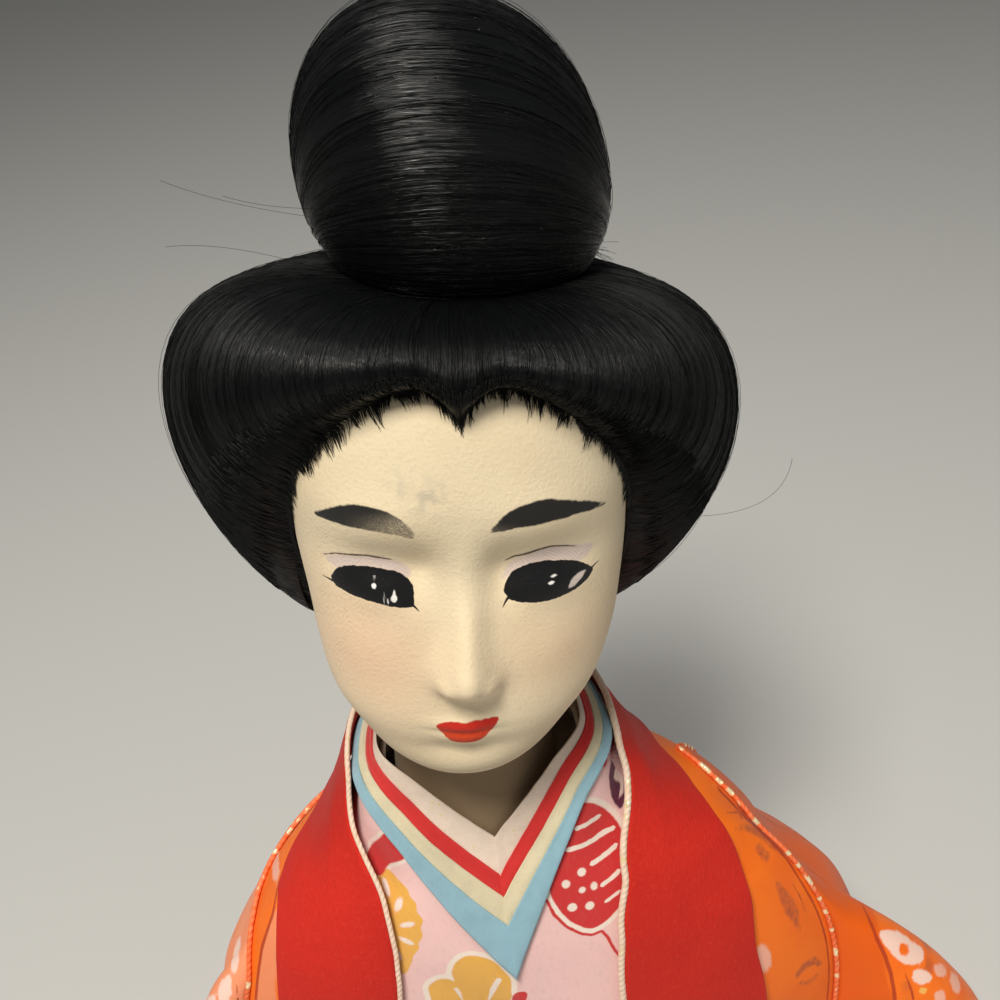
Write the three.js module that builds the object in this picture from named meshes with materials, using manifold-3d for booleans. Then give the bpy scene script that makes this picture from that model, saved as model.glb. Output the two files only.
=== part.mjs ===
// The geisha doll's bust: a cloth-faced head with a floss wig, four collar strips and three layers of
// kimono, cut flat across the upper arms. Millimetres, +Z up, the face towards -Y.
import * as THREE from "three";
import { mergeVertices } from "three/addons/utils/BufferGeometryUtils.js";
import Module from "manifold-3d";

const wasm = await Module();
wasm.setup();

// Driving dimensions
const eyeHeight = 140; // the eyes above the cut
const headLean = THREE.MathUtils.degToRad(6.8); // the head leans to the doll's left
const headTurn = THREE.MathUtils.degToRad(-1.33);
const headShift = 2.9; // the head's axis beside the body's, at eye level
const gap = 0.35; // between pieces that touch
const clothThick = 0.65; // a folded collar strip
const stripGap = 0.5; // between one strip's layer and the next
const robeThick = 1.0; // the lined brocade
const robeEase = 0.7; // the air under the robe, and under the wide collar on it
const wideCollarThick = 1.1;
const collarPipingRadius = 0.6;
const armholePipingRadius = 1.0;
const footprint = { x: 8.89, y: 2.95 }; // the middle of the whole bust seen from above
const sectionPower = 2.3; // the body's level sections are superellipses

// Small tools
const { cos, sin, abs, sign, min, max, hypot, PI } = Math;
const v3 = (x, y, z) => new THREE.Vector3(x, y, z);
const deg = THREE.MathUtils.degToRad;
const clamp = THREE.MathUtils.clamp;
const bell = (x, width) => Math.exp(-((x / width) ** 2));
const step = (t) => t * t * (3 - 2 * t);
const ramp = (a, b, x) => step(clamp((x - a) / (b - a), 0, 1));
const times = (n, make) => Array.from({ length: n }, (_, i) => make(i));

// The value at x of a smooth curve through keys: rows of [x, value, value, ...] in rising order of x.
function through(keys, x, column = 1) {
  const last = keys.length - 1;
  if (x <= keys[0][0]) return keys[0][column];
  if (x >= keys[last][0]) return keys[last][column];
  let i = 0;
  while (x > keys[i + 1][0]) i++;
  const slope = (k) => {
    const a = keys[max(k - 1, 0)];
    const b = keys[min(k + 1, last)];
    return (b[column] - a[column]) / (b[0] - a[0]);
  };
  const h = keys[i + 1][0] - keys[i][0];
  const t = (x - keys[i][0]) / h;
  const a = keys[i][column];
  const b = keys[i + 1][column];
  return (
    a * (1 + 2 * t) * (1 - t) ** 2 +
    b * t * t * (3 - 2 * t) +
    h * t * (1 - t) * (slope(i) * (1 - t) - slope(i + 1) * t)
  );
}

// A geometry from points and triangles, with shared vertices and its faces pointing out.
function closed(points, triangles) {
  let volume = 0;
  for (const [a, b, c] of triangles)
    volume += points[a].dot(v3().crossVectors(points[b], points[c]));
  const faces = volume < 0 ? triangles.map(([a, b, c]) => [a, c, b]) : triangles;
  const geometry = new THREE.BufferGeometry();
  geometry.setAttribute(
    "position",
    new THREE.Float32BufferAttribute(points.flatMap((p) => p.toArray()), 3),
  );
  geometry.setIndex(faces.flat());
  return mergeVertices(geometry, 1e-4);
}

// Closed rings of equal count joined one to the next, with a fan over each end.
function loft(rings) {
  const n = rings[0].length;
  const points = rings.flat();
  const faces = [];
  for (let r = 0; r + 1 < rings.length; r++)
    for (let i = 0; i < n; i++) {
      const a = r * n + i;
      const b = r * n + ((i + 1) % n);
      faces.push([a, b, a + n], [b, b + n, a + n]);
    }
  for (const [start, turned] of [[0, true], [points.length - n, false]]) {
    const middle = v3();
    for (let i = 0; i < n; i++) middle.addScaledVector(points[start + i], 1 / n);
    const centre = points.push(middle) - 1;
    for (let i = 0; i < n; i++) {
      const a = start + i;
      const b = start + ((i + 1) % n);
      faces.push(turned ? [b, a, centre] : [a, b, centre]);
    }
  }
  return closed(points, faces);
}

// A slab between two grids of points, face(row, column, side) with side 0 inside and 1 outside.
function slab(rows, columns, face, joined) {
  const points = [];
  for (const side of [0, 1])
    for (let r = 0; r < rows; r++)
      for (let c = 0; c < columns; c++) points.push(face(r, c, side));
  const at = (r, c, side) => (side * rows + r) * columns + (c % columns);
  const faces = [];
  const quad = (a, b, c, d) => faces.push([a, b, c], [a, c, d]);
  const spans = joined ? columns : columns - 1;
  for (let c = 0; c < spans; c++) {
    for (let r = 0; r + 1 < rows; r++) {
      quad(at(r, c, 1), at(r, c + 1, 1), at(r + 1, c + 1, 1), at(r + 1, c, 1));
      quad(at(r, c, 0), at(r + 1, c, 0), at(r + 1, c + 1, 0), at(r, c + 1, 0));
    }
    quad(at(0, c, 0), at(0, c + 1, 0), at(0, c + 1, 1), at(0, c, 1));
    quad(at(rows - 1, c, 0), at(rows - 1, c, 1), at(rows - 1, c + 1, 1), at(rows - 1, c + 1, 0));
  }
  if (!joined)
    for (let r = 0; r + 1 < rows; r++) {
      const end = columns - 1;
      quad(at(r, 0, 0), at(r, 0, 1), at(r + 1, 0, 1), at(r + 1, 0, 0));
      quad(at(r, end, 0), at(r + 1, end, 0), at(r + 1, end, 1), at(r, end, 1));
    }
  return closed(points, faces);
}

// A round cord along a path of points, each with the direction that its section's first side faces.
function cord(path, radius, sides = 8) {
  return loft(
    path.map(({ point, out }, i) => {
      const before = path[max(i - 1, 0)].point;
      const after = path[min(i + 1, path.length - 1)].point;
      const along = v3().subVectors(after, before).normalize();
      const across = v3().crossVectors(along, out).normalize();
      const up = v3().crossVectors(across, along);
      return times(sides, (k) => {
        const a = (2 * PI * k) / sides;
        return point
          .clone()
          .addScaledVector(up, radius * cos(a))
          .addScaledVector(across, radius * sin(a));
      });
    }),
  );
}

const solidOf = (geometry) =>
  new wasm.Manifold(
    new wasm.Mesh({
      numProp: 3,
      vertProperties: geometry.getAttribute("position").array,
      triVerts: new Uint32Array(geometry.index.array),
    }),
  );

function geometryOf(solid) {
  const mesh = solid.getMesh();
  const geometry = new THREE.BufferGeometry();
  geometry.setAttribute("position", new THREE.BufferAttribute(mesh.vertProperties, 3));
  geometry.setIndex(new THREE.BufferAttribute(mesh.triVerts, 1));
  return geometry;
}

// The first geometry less each of the others: its largest body, where crumbs fall away.
function cut(geometry, ...tools) {
  const left = tools.reduce((solid, tool) => solid.subtract(solidOf(tool)), solidOf(geometry));
  return geometryOf(left.decompose().sort((a, b) => b.volume() - a.volume())[0]);
}

// Everything above the cut plane.
const ground = new THREE.BoxGeometry(400, 400, 60).translate(0, 0, -30);
for (const name of ["normal", "uv"]) ground.deleteAttribute(name);
const cutPlane = mergeVertices(ground);

// The head, in its own frame: eye level at z 0, the neck's axis at y 0.
// Each station is a loop round the head: [place, front y, front z, back y, back z, half width,
// where the widest point lies from front to back, squareness of the front].
const headStations = [
  [0, -7, 28.4, 14, 28.2, 10, 0.5, 2.1], // crown
  [1, -13.8, 27.6, 21.5, 26.8, 16.5, 0.48, 2.1],
  [2, -17.6, 25.4, 25.3, 24, 20, 0.46, 2.2],
  [3, -19.6, 21.5, 27.3, 19, 22.3, 0.44, 2.3], // hairline
  [4, -21.2, 11, 28, 11, 23.6, 0.42, 2.4], // brows
  [5, -20.4, 0, 27, -1, 23.8, 0.4, 2.5], // eyes
  [6, -21.0, -8, 24.5, -8, 23.7, 0.37, 2.4], // cheeks
  [7, -21.6, -16, 21.5, -13, 23.0, 0.36, 2.3], // nose
  [8, -22.0, -23.5, 18.5, -18, 20.3, 0.35, 2.2], // mouth
  [9, -21.3, -29, 17, -21.5, 16.8, 0.33, 2.1],
  [10, -20.6, -33.8, 16, -24.5, 13.0, 0.31, 2.0], // chin
  [11, -18.2, -36.7, 15.3, -27, 10.8, 0.33, 2.0],
  [12, -12.8, -37.4, 15, -30, 10.3, 0.42, 2.0], // under the chin
  [13, -7.4, -38.4, 14.8, -34, 10.2, 0.5, 2.0],
  [14, -6.6, -45, 14.8, -44, 10.2, 0.5, 2.0], // neck
  [15, -7.8, -52, 15.2, -52, 11.6, 0.5, 2.0],
  [16, -9.6, -59, 15.6, -59, 13.4, 0.5, 2.0], // the collar bones
  [17, -9.9, -62.5, 15.6, -62.5, 13.6, 0.5, 2.0],
];
const neckShift = 5.2; // the neck's foot beside the leaning head's axis

// How far the features stand out of the plain oval, towards the front.
function features(x, z) {
  const side = abs(x);
  const nose =
    5.6 * ramp(3, -12.5, z) * ramp(-18, -14.2, z) * bell(x, 2.3 + 1.5 * ramp(2, -13, z)) +
    1.5 * bell(side - 3.7, 1.7) * bell(z + 15.2, 1.9);
  const sockets = -1.2 * bell(side - 11, 6.5) * bell(z - 1.5, 3.6);
  const lids = 0.6 * bell(side - 11.7, 5) * bell(z + 2.4, 3);
  const brows = 0.5 * bell(side - 11, 8) * bell(z - 9, 4);
  const lips =
    1.0 * bell(x, 3.9) * bell(z + 23.7, 1.4) +
    1.1 * bell(x, 3.2) * bell(z + 26, 1.6) -
    0.5 * bell(x, 4.4) * bell(z + 24.8, 0.6);
  const chin = 0.9 * bell(x, 6) * bell(z + 32.5, 3) - 0.6 * bell(x, 6) * bell(z + 29, 1.8);
  const cheeks = 0.6 * bell(side - 13, 6) * bell(z + 11, 7);
  return nose + sockets + lids + brows + lips + chin + cheeks;
}

// A point of the head at a station and an angle round it from the front, grown outwards.
function headPoint(place, angle, grow = 0) {
  const [yf, zf, yb, zb, w, mid, power] = times(7, (i) => through(headStations, place, i + 1));
  const depth = hypot(yb - yf, zb - zf);
  const s = sin(angle);
  const c = cos(angle);
  const reach = depth * (c > 0 ? mid : 1 - mid) + grow;
  const e = c > 0 ? power : 2.1;
  const r = (abs(s / (w + grow)) ** e + abs(c / reach) ** e) ** (-1 / e);
  const along = mid * depth - r * c;
  const x = r * s;
  const y = yf + ((yb - yf) * along) / depth;
  const z = zf + ((zb - zf) * along) / depth;
  const raised = c > 0 ? features(x, z) * ramp(0, 0.35, c) : 0;
  return v3(x + neckShift * ramp(-32, -62, z), y - raised, z);
}

const headPlaces = [0, 1, 2, 3, 4, 4.6, 5.1, 5.6, 6.2, 6.6, 6.9, 7.2, 7.6, 8, 8.3, 8.7];
headPlaces.push(9.3, 10, 11, 12, 13, 14.5, 16, 17);
const roomPlaces = [0, 1, 2, 3, 4, 5, 6, 7, 8, 9, 10, 11, 12, 13, 14.5, 16, 17];

function head(places = headPlaces, columns = 30, grow = 0) {
  return loft(
    places.map((place) =>
      times(columns, (i) => {
        const t = (2 * PI * i) / columns;
        return headPoint(place, t - 0.42 * sin(t), grow);
      }),
    ),
  );
}

// The wig: strands run from the hairline out over the roll and in to the tie below the bun.
// Each station round the head: [angle from the front, hairline x y z, first pull x y z, second pull x y z].
const strandStations = [
  [0, 0, -19.4, 21.0, 0, -26, 26, 0, -19.5, 37.5],
  [14, 4.4, -18.4, 26.3, 6, -25.5, 29, 6.5, -19.5, 37.5],
  [27, 10, -16.5, 24.2, 15, -25.5, 26, 15.5, -19, 38],
  [45, 17, -12.2, 15, 28, -21.5, 16, 32, -15, 40],
  [62, 21, -8.6, 5, 36, -16, 5, 43.5, -7, 41],
  [78, 22.8, -5, -8, 40, -9, -6, 52, 1.5, 38.5],
  [94, 22.4, 1.5, -21.5, 40, 0, -11, 56, 10, 35.5],
  [115, 19.5, 9, -24.5, 37, 14, -18, 48.5, 22, 32.5],
  [145, 11.5, 14.6, -27, 22, 31, -28, 28, 35, 30],
  [180, 0, 16.5, -28.5, 0, 39, -33, 0, 37, 28],
];
const tie = { x: 9.5, y: 9.5, back: 8, z: 30.6 }; // the ring where the strands are tied
const wigLean = 0.05; // the roll sits higher on the doll's right

function strandPoint(angle, t) {
  const turned = abs(angle) > PI ? abs(angle) - 2 * PI : abs(angle);
  const place = (180 * abs(turned)) / PI;
  const side = sin(angle) < 0 ? -1 : 1;
  const [hx, hy, hz, ax, ay, az, bx, by, bz] = times(9, (i) =>
    through(strandStations, place, i + 1),
  );
  const kx = tie.x * sin(deg(place));
  const ky = tie.back - tie.y * cos(deg(place));
  const mix = (h, a, b, k) =>
    h * (1 - t) ** 3 + 3 * a * t * (1 - t) ** 2 + 3 * b * t * t * (1 - t) + k * t ** 3;
  const leaning = (x, z) => z - wigLean * side * x;
  return v3(
    side * mix(hx, ax, bx, kx),
    mix(hy, ay, by, ky),
    mix(hz, leaning(ax, az), leaning(bx, bz), tie.z),
  );
}

function wig(scale = 1) {
  const columns = 30;
  const rows = 11;
  const geometry = loft(
    times(rows, (r) =>
      times(columns, (i) => strandPoint((2 * PI * i) / columns, r / (rows - 1))),
    ),
  );
  return geometry.scale(scale, scale, scale);
}

// The bun: strands run round it like meridians between a left and a right pole.
const bun = { x: 0.7, y: 13, z: 41, wide: 20.4, deep: 20, up: 23.4, down: 16.5, lean: -0.13 };
const bunPower = 2.2;

function bunPoint(along, round) {
  const e = 2 / bunPower;
  const ring = abs(sin(along)) ** e;
  const shape = (value) => sign(value) * abs(value) ** e;
  const z = ring * shape(sin(round)) * (sin(round) > 0 ? bun.up : bun.down);
  return v3(
    bun.x + bun.wide * shape(cos(along)) + bun.lean * z,
    bun.y + bun.deep * ring * shape(cos(round)),
    bun.z + z,
  );
}

function bunSolid() {
  const rings = 12;
  const sides = 22;
  const pole = 0.012; // how near the first ring is to the pole
  return loft(
    times(rings, (r) =>
      times(sides, (i) => {
        const along = PI * (pole + (1 - 2 * pole) * (r / (rings - 1)));
        return bunPoint(along, (2 * PI * i) / sides);
      }),
    ),
  );
}

// The body under the clothes. Level sections: [height, half width at the doll's right, at its left,
// depth to the front, depth to the back].
const bodyStations = [
  [0, 54, 62, 19, 25],
  [20, 51.5, 58.8, 18.5, 25],
  [34, 49, 56.8, 18, 25],
  [45, 46, 52.8, 17, 24.5],
  [58, 39.4, 45.2, 15.2, 23.5],
  [64, 34.8, 39.8, 14, 22.5],
  [70, 29.4, 34.2, 12.6, 21.5],
  [74, 25.6, 28.4, 11.5, 20.5],
  [78, 22.8, 24, 10.5, 19.6],
  [82, 20.5, 20.9, 9.6, 18.8],
  [88, 17.8, 17.8, 8.2, 18],
  [97, 15.8, 15.8, 6.8, 17.5],
];

// A point of the body grown by out, at a height and an angle: 0 at the doll's left, -90 in front.
function bodyPoint(angle, z, out = 0) {
  const [right, left, front, back] = times(4, (i) => through(bodyStations, z, i + 1));
  const e = 2 / sectionPower;
  const c = cos(angle);
  const s = sin(angle);
  const x = ((c > 0 ? left : right) + out) * sign(c) * abs(c) ** e;
  return v3(x, ((s < 0 ? front : back) + out) * sign(s) * abs(s) ** e, z);
}

// The angle in front at which the body grown by out is x wide at height z.
function frontAngle(x, z, out) {
  const half = through(bodyStations, z, x > 0 ? 2 : 1) + out;
  const turn = Math.acos(clamp((abs(x) / half) ** (sectionPower / 2), 0, 1));
  return x > 0 ? -turn : turn - PI;
}

// The collar edges: each rises from a V in front to the side of the neck, and a little more behind.
// foot is the V's height, side and reach the height and half width beside the neck, and power how much
// the doll's right and left arms of the V bow.
const edges = {
  white: { foot: 80.2, side: 95.2, reach: 14.4, power: [0.92, 0.97] },
  red: { foot: 73.4, side: 94.4, reach: 16.4, power: [0.84, 1.15] },
  cream: { foot: 70.4, side: 93.4, reach: 17.7, power: [0.78, 1.1] },
  blue: { foot: 65.9, side: 92.4, reach: 18.9, power: [0.8, 1.13] },
  kimono: { foot: 55.6, side: 91.0, reach: 19.9, power: [0.9, 1.3] },
};
const napeRise = 1.5;
const frontShare = 0.64; // the share of a strip's columns that lies in front of the neck

// The place [angle, height] on an edge, u from 0 at the V round the doll's left side to 1 at the V.
function edgePlace(edge, u, out) {
  const left = u < 0.5;
  const turn = 2 * (left ? u : 1 - u); // 0 at the V, 1 behind
  const along = min(turn / frontShare, 1);
  const x = edge.reach * along;
  const dip = (1 - along) ** edge.power[left ? 1 : 0];
  const behind = max(0, (turn - frontShare) / (1 - frontShare));
  const z = edge.side - (edge.side - edge.foot) * dip + napeRise * step(behind);
  const front = frontAngle(left ? x : -x, z, out);
  const nape = left ? PI / 2 : -1.5 * PI;
  const beside = frontAngle(left ? edge.reach : -edge.reach, edge.side, out);
  return [behind > 0 ? beside + (nape - beside) * behind : front, z];
}

const stripColumns = 34;
const stripInside = (layer) => gap + layer * (clothThick + stripGap);

// A point between two edges, a share of the way down from the upper one.
function bandPoint(upper, lower, u, share, out) {
  const [a, za] = edgePlace(upper, u, out);
  const [b, zb] = edgePlace(lower, u, out);
  return bodyPoint(a + (b - a) * share, za + (zb - za) * share, out);
}

// One collar strip: a closed band round the neck from one edge to the next, on its own layer, running on
// under a third of the strip beyond it.
const tuck = 0.35;

function collarStrip(layer, upper, lower, beyond) {
  return slab(
    2,
    stripColumns,
    (r, c, side) => {
      const u = c / stripColumns;
      const out = stripInside(layer) + side * clothThick;
      return r ? bandPoint(lower, beyond, u, tuck, out) : bandPoint(upper, lower, u, 0, out);
    },
    true,
  );
}

// The pink kimono over the stuffed body, with a ledge under the blue strip and a seat for the neck.
const kimonoOut = stripInside(3) - stripGap; // its cloth, just under the blue strip
const kimonoSunk = 1.4; // how much flatter it lies under the robe
const seatHeight = 78;

function kimonoBody() {
  const ring = (place) => times(stripColumns, (c) => place(c / stripColumns));
  const ledge = (out) => (u) => bandPoint(edges.blue, edges.kimono, u, 1 - tuck, out);
  const lowered = (share) => (u) => {
    const [a, za] = edgePlace(edges.kimono, u, kimonoOut);
    const sunk = kimonoSunk * ramp(-0.95, -0.75, sin(a)) * (1 - ramp(0.9, 1, share));
    return bodyPoint(a, za * share, kimonoOut - sunk);
  };
  const lip = (out, down) => (u) => {
    const [a, z] = edgePlace(edges.white, u, 0);
    return bodyPoint(a, down ? seatHeight : z - 1, out);
  };
  return loft([
    ...[0, 0.35, 0.6, 0.74, 0.82, 0.9, 1].map((share) => ring(lowered(share))),
    ring(ledge(kimonoOut)),
    ring(ledge(-0.1)),
    ring(lip(-0.2, false)),
    ring(lip(-1.2, false)),
    ring(lip(-1.5, true)),
  ]);
}

// The wide collar: from the back of the neck over the shoulders and down both fronts.
// Each edge is a row of [place, degrees round from the side towards the back, height], from the nape down.
const robeInside = kimonoOut + robeEase;
const robeOutside = robeInside + robeThick;
const wideCollarOut = robeOutside + gap;
const wideInner = {
  left: [[0, 90, 94.6], [0.1, 50, 94.2], [0.2, 10, 93], [0.26, -9, 89.6], [0.3, -18, 86], [0.34, -29, 83],
    [0.41, -50, 76.4], [0.48, -64.2, 68.3], [0.56, -71.1, 58.9], [0.65, -74.6, 48], [1, -81.7, 0]],
  right: [[0, 90, 94.6], [0.1, 50, 94.2], [0.2, 7, 93.6], [0.25, -8, 91], [0.29, -15.5, 87.2],
    [0.33, -26, 83.6], [0.37, -37, 80.3], [0.41, -47.5, 76.4], [0.46, -57, 71.2], [0.52, -63.5, 65],
    [0.58, -66.6, 59], [0.65, -68, 52], [1, -77.2, 0]],
};
const wideOuter = {
  left: [[0, 90, 74.5], [0.12, 55, 76], [0.22, 30, 77.5], [0.29, 13, 78], [0.35, -2, 75.4], [0.4, -14, 72.8],
    [0.45, -25, 69.4], [0.51, -34.5, 63.4], [0.57, -41.2, 56.6], [0.65, -46.4, 48], [1, -58.8, 0]],
  right: [[0, 90, 74.5], [0.12, 55, 76], [0.22, 30, 77.5], [0.29, 13, 78], [0.34, 3, 75.4], [0.38, -5, 72],
    [0.42, -14, 68.9], [0.47, -24, 65], [0.53, -31.5, 58.6], [0.6, -37.5, 50.8], [0.68, -41.5, 42],
    [1, -49.5, 0]],
};

// The edges' keys as [place, angle, height] rows, with places from -1 (right foot) to 1 (left foot).
function collarKeys(edge) {
  const leftKeys = edge.left.map(([p, turn, z]) => [p, deg(turn), z]);
  const rightKeys = edge.right.map(([p, turn, z]) => [-p, PI - deg(turn), z]);
  return [...rightKeys.slice(1).reverse(), ...leftKeys];
}
const innerKeys = collarKeys(wideInner);
const outerKeys = collarKeys(wideOuter);

// A point of the wide collar at a place along it, a share of the way across it, grown by out.
function wideCollarPoint(place, across, out) {
  const angle =
    through(innerKeys, place, 1) * (1 - across) + through(outerKeys, place, 1) * across;
  const z = through(innerKeys, place, 2) * (1 - across) + through(outerKeys, place, 2) * across;
  const settled = 1.0 * ramp(0.3, 0.45, abs(place)) * (1 - ramp(0, 0.35, across));
  return bodyPoint(angle, z, wideCollarOut + out - settled);
}

const collarPlace = (i, n) => {
  const t = (2 * i) / (n - 1) - 1;
  return sign(t) * abs(t) ** 1.2;
};

function wideCollar() {
  const columns = 37;
  const rows = 4;
  return slab(
    rows,
    columns,
    (r, c, side) => wideCollarPoint(collarPlace(c, columns), r / (rows - 1), side * wideCollarThick),
    false,
  );
}

function collarPiping() {
  const columns = 37;
  return cord(
    times(columns, (c) => {
      const place = collarPlace(c, columns);
      const point = wideCollarPoint(place, -0.055, wideCollarThick / 2);
      const out = wideCollarPoint(place, -0.055, wideCollarThick).sub(point).normalize();
      return { point, out };
    }),
    collarPipingRadius,
    6,
  );
}

// The brocade robe: open in front, its edges under the middle of the wide collar.
const robeEdge = [[0, 26, 27], [48, 30, 30], [64, 30.5, 30], [72, 29.5, 29], [78, 26.5, 26], [84, 24.2, 24.2]];

// Soft drapes down the robe's back and sides, none under the collar.
const drapes = (angle, z) => {
  const low = ramp(70, 10, z);
  const behind = ramp(-0.3, 0.3, sin(angle));
  return low * behind * (1.3 + 0.9 * sin(8 * angle + 0.03 * z));
};

// How far the robe is pressed down under the wide collar.
const pressed = (angle, z) => robeEase * max(ramp(64, 70, z), ramp(-0.05, -0.4, sin(angle)));

const robePoint = (angle, z, out) =>
  bodyPoint(angle, z, out + drapes(angle, z) - pressed(angle, z));

const robeHeights = [0, 16, 32, 46, 56, 63, 69, 74, 79, 84];

function robe() {
  const columns = 34;
  return slab(
    robeHeights.length,
    columns,
    (r, c, side) => {
      const z = robeHeights[r];
      const from = frontAngle(through(robeEdge, z, 1), z, robeInside);
      const to = 2 * PI + frontAngle(-through(robeEdge, z, 2), z, robeInside);
      const angle = from + ((to - from) * c) / (columns - 1);
      return robePoint(angle, z, side ? robeOutside : robeInside);
    },
    false,
  );
}

// The armholes: [height, degrees from the body's side towards the back], up the front to the crest and
// down behind.
const armholes = {
  left: {
    front: [[0, -38.5], [24, -29], [34, -25], [41, -22], [48, -17.5], [54, -15], [60, -10], [65.5, -4],
      [69.5, 5], [72, 20]],
    back: [[0, 44], [20, 43], [40, 40], [58, 36], [67, 30], [71, 24], [72, 20]],
  },
  right: {
    front: [[0, -35], [20, -28.5], [34, -24], [44, -20.5], [50, -16], [54, -8], [57.5, 4], [60.5, 14],
      [64, 25], [66, 32]],
    back: [[0, 44], [20, 43], [38, 40], [52, 38], [60, 37], [65, 34], [66, 32]],
  },
};

// A point over the robe near the arm, a turn from the side towards the back, as given by side.
const armPoint = (side, turn, z, out) =>
  robePoint(side === "left" ? deg(turn) : PI - deg(turn), z, robeOutside + out);

// The gold-shot piping along an armhole, a little clear of the robe.
function armholePath(side) {
  const { front, back } = armholes[side];
  const rows = [...front, ...back.slice(0, -1).reverse()];
  const keys = rows.map(([z, turn], i) => [i, turn, z]);
  const steps = 26;
  return times(steps, (i) => {
    const place = ((keys.length - 1) * i) / (steps - 1);
    const turn = through(keys, place, 1);
    const z = through(keys, place, 2);
    const clear = armholePipingRadius + gap + 0.4 * ramp(60, 67, z);
    const point = armPoint(side, turn, z, clear);
    return { point, out: armPoint(side, turn, z, clear + 1).sub(point).normalize() };
  });
}

const armholePiping = (side) => cut(cord(armholePath(side), armholePipingRadius, 5), cutPlane);

// The sleeves hang from the armholes and puff out over the arms: [height, puff at the doll's left, at its
// right], fullest a little in front of the side.
const puffs = [
  [0, 23.5, 13],
  [14, 20.5, 11],
  [24, 16, 9],
  [33, 10, 6.8],
  [38.5, 6, 5.2],
  [43, 2.8, 3.8],
  [54, 0.4, 0.4],
  [73, 0, 0],
];
const fullest = -12; // degrees, where the puff is highest
const sleeveEase = 0.8; // the air between a sleeve and the robe
const sleeveThick = 1.0;

function sleevePoint(side, z, share, outside) {
  const { front, back } = armholes[side];
  const from = through(front, z);
  const turn = from + (through(back, z) - from) * share;
  const behind = 20 - 0.26 * z; // degrees from the fullest part to where the puff ends behind
  const away = (turn - fullest) / (turn < fullest ? from - fullest : behind);
  const round = max(0, 1 - away * away) ** 0.6;
  const puff = through(puffs, z, side === "left" ? 1 : 2) * round;
  return armPoint(side, turn, z, sleeveEase + (outside ? sleeveThick + puff : 0));
}

const sleeveHeights = [0, 10, 20, 29, 37, 46, 56, 63];

function sleeve(side) {
  const heights = [...sleeveHeights, ...(side === "left" ? [69] : [51])].sort((a, b) => a - b);
  const columns = 12;
  const outer = slab(
    heights.length,
    columns,
    (r, c, outside) => sleevePoint(side, heights[r], (c / (columns - 1)) ** 1.2, outside),
    false,
  );
  return cut(outer, cord(armholePath(side), armholePipingRadius + gap, 5));
}

// The scene graph
const colours = {
  face: 0xecd6ac,
  floss: 0x0b0b0c,
  white: 0xebd7c3,
  red: 0xdc3c3c,
  cream: 0xe6d7a5,
  blue: 0x8cb9cd,
  pink: 0xf0c3be,
  crepe: 0xc82d23,
  gold: 0xe6d2aa,
  brocade: 0xf5781e,
  piping: 0xe65a28,
  leftSleeve: 0xf58232,
  rightSleeve: 0xf5966e,
};

function piece(name, geometry, color, roughness = 0.85) {
  geometry.computeVertexNormals();
  const material = new THREE.MeshStandardMaterial({ color, roughness, metalness: 0 });
  const mesh = new THREE.Mesh(geometry, material);
  mesh.name = name;
  return mesh;
}

const headPlacement = new THREE.Matrix4()
  .makeTranslation(headShift, 0, eyeHeight)
  .multiply(new THREE.Matrix4().makeRotationY(headLean))
  .multiply(new THREE.Matrix4().makeRotationZ(headTurn));

// The head with its wig and bun, leaning together.
const headRoomInWig = head(roomPlaces, 24, 1);
const headGroup = new THREE.Group();
headGroup.applyMatrix4(headPlacement);
headGroup.add(
  piece("head", head(), colours.face),
  piece("hair", cut(wig(), headRoomInWig), colours.floss, 0.35),
  piece("topknot", cut(bunSolid(), wig(1.012)), colours.floss, 0.35),
);

// The clothes, with room for the neck.
const neckRoom = head(roomPlaces, 24, 2 * gap).applyMatrix4(headPlacement);
const strip = (name, color, ...band) => piece(name, cut(collarStrip(...band), neckRoom), color);
const doll = new THREE.Group();
doll.position.set(-footprint.x, -footprint.y, 0);
doll.add(
  headGroup,
  strip("white_collar", colours.white, 0, edges.white, edges.red, edges.cream),
  strip("red_stripe_collar", colours.red, 1, edges.red, edges.cream, edges.blue),
  strip("cream_stripe_collar", colours.cream, 2, edges.cream, edges.blue, edges.kimono),
  strip("blue_stripe_collar", colours.blue, 3, edges.blue, edges.kimono, edges.kimono),
  piece("pink_kimono", cut(kimonoBody(), neckRoom), colours.pink),
  piece("wide_red_collar", wideCollar(), colours.crepe),
  piece("collar_piping", cut(collarPiping(), cutPlane), colours.gold, 0.5),
  piece("robe", robe(), colours.brocade, 0.6),
  piece("left_armhole_piping", armholePiping("left"), colours.piping, 0.4),
  piece("right_armhole_piping", armholePiping("right"), colours.piping, 0.4),
  piece("left_sleeve", sleeve("left"), colours.leftSleeve, 0.6),
  piece("right_sleeve", sleeve("right"), colours.rightSleeve, 0.6),
);

export default doll;
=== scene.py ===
import math

import bpy
import numpy as np
from mathutils import Matrix, Vector


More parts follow.
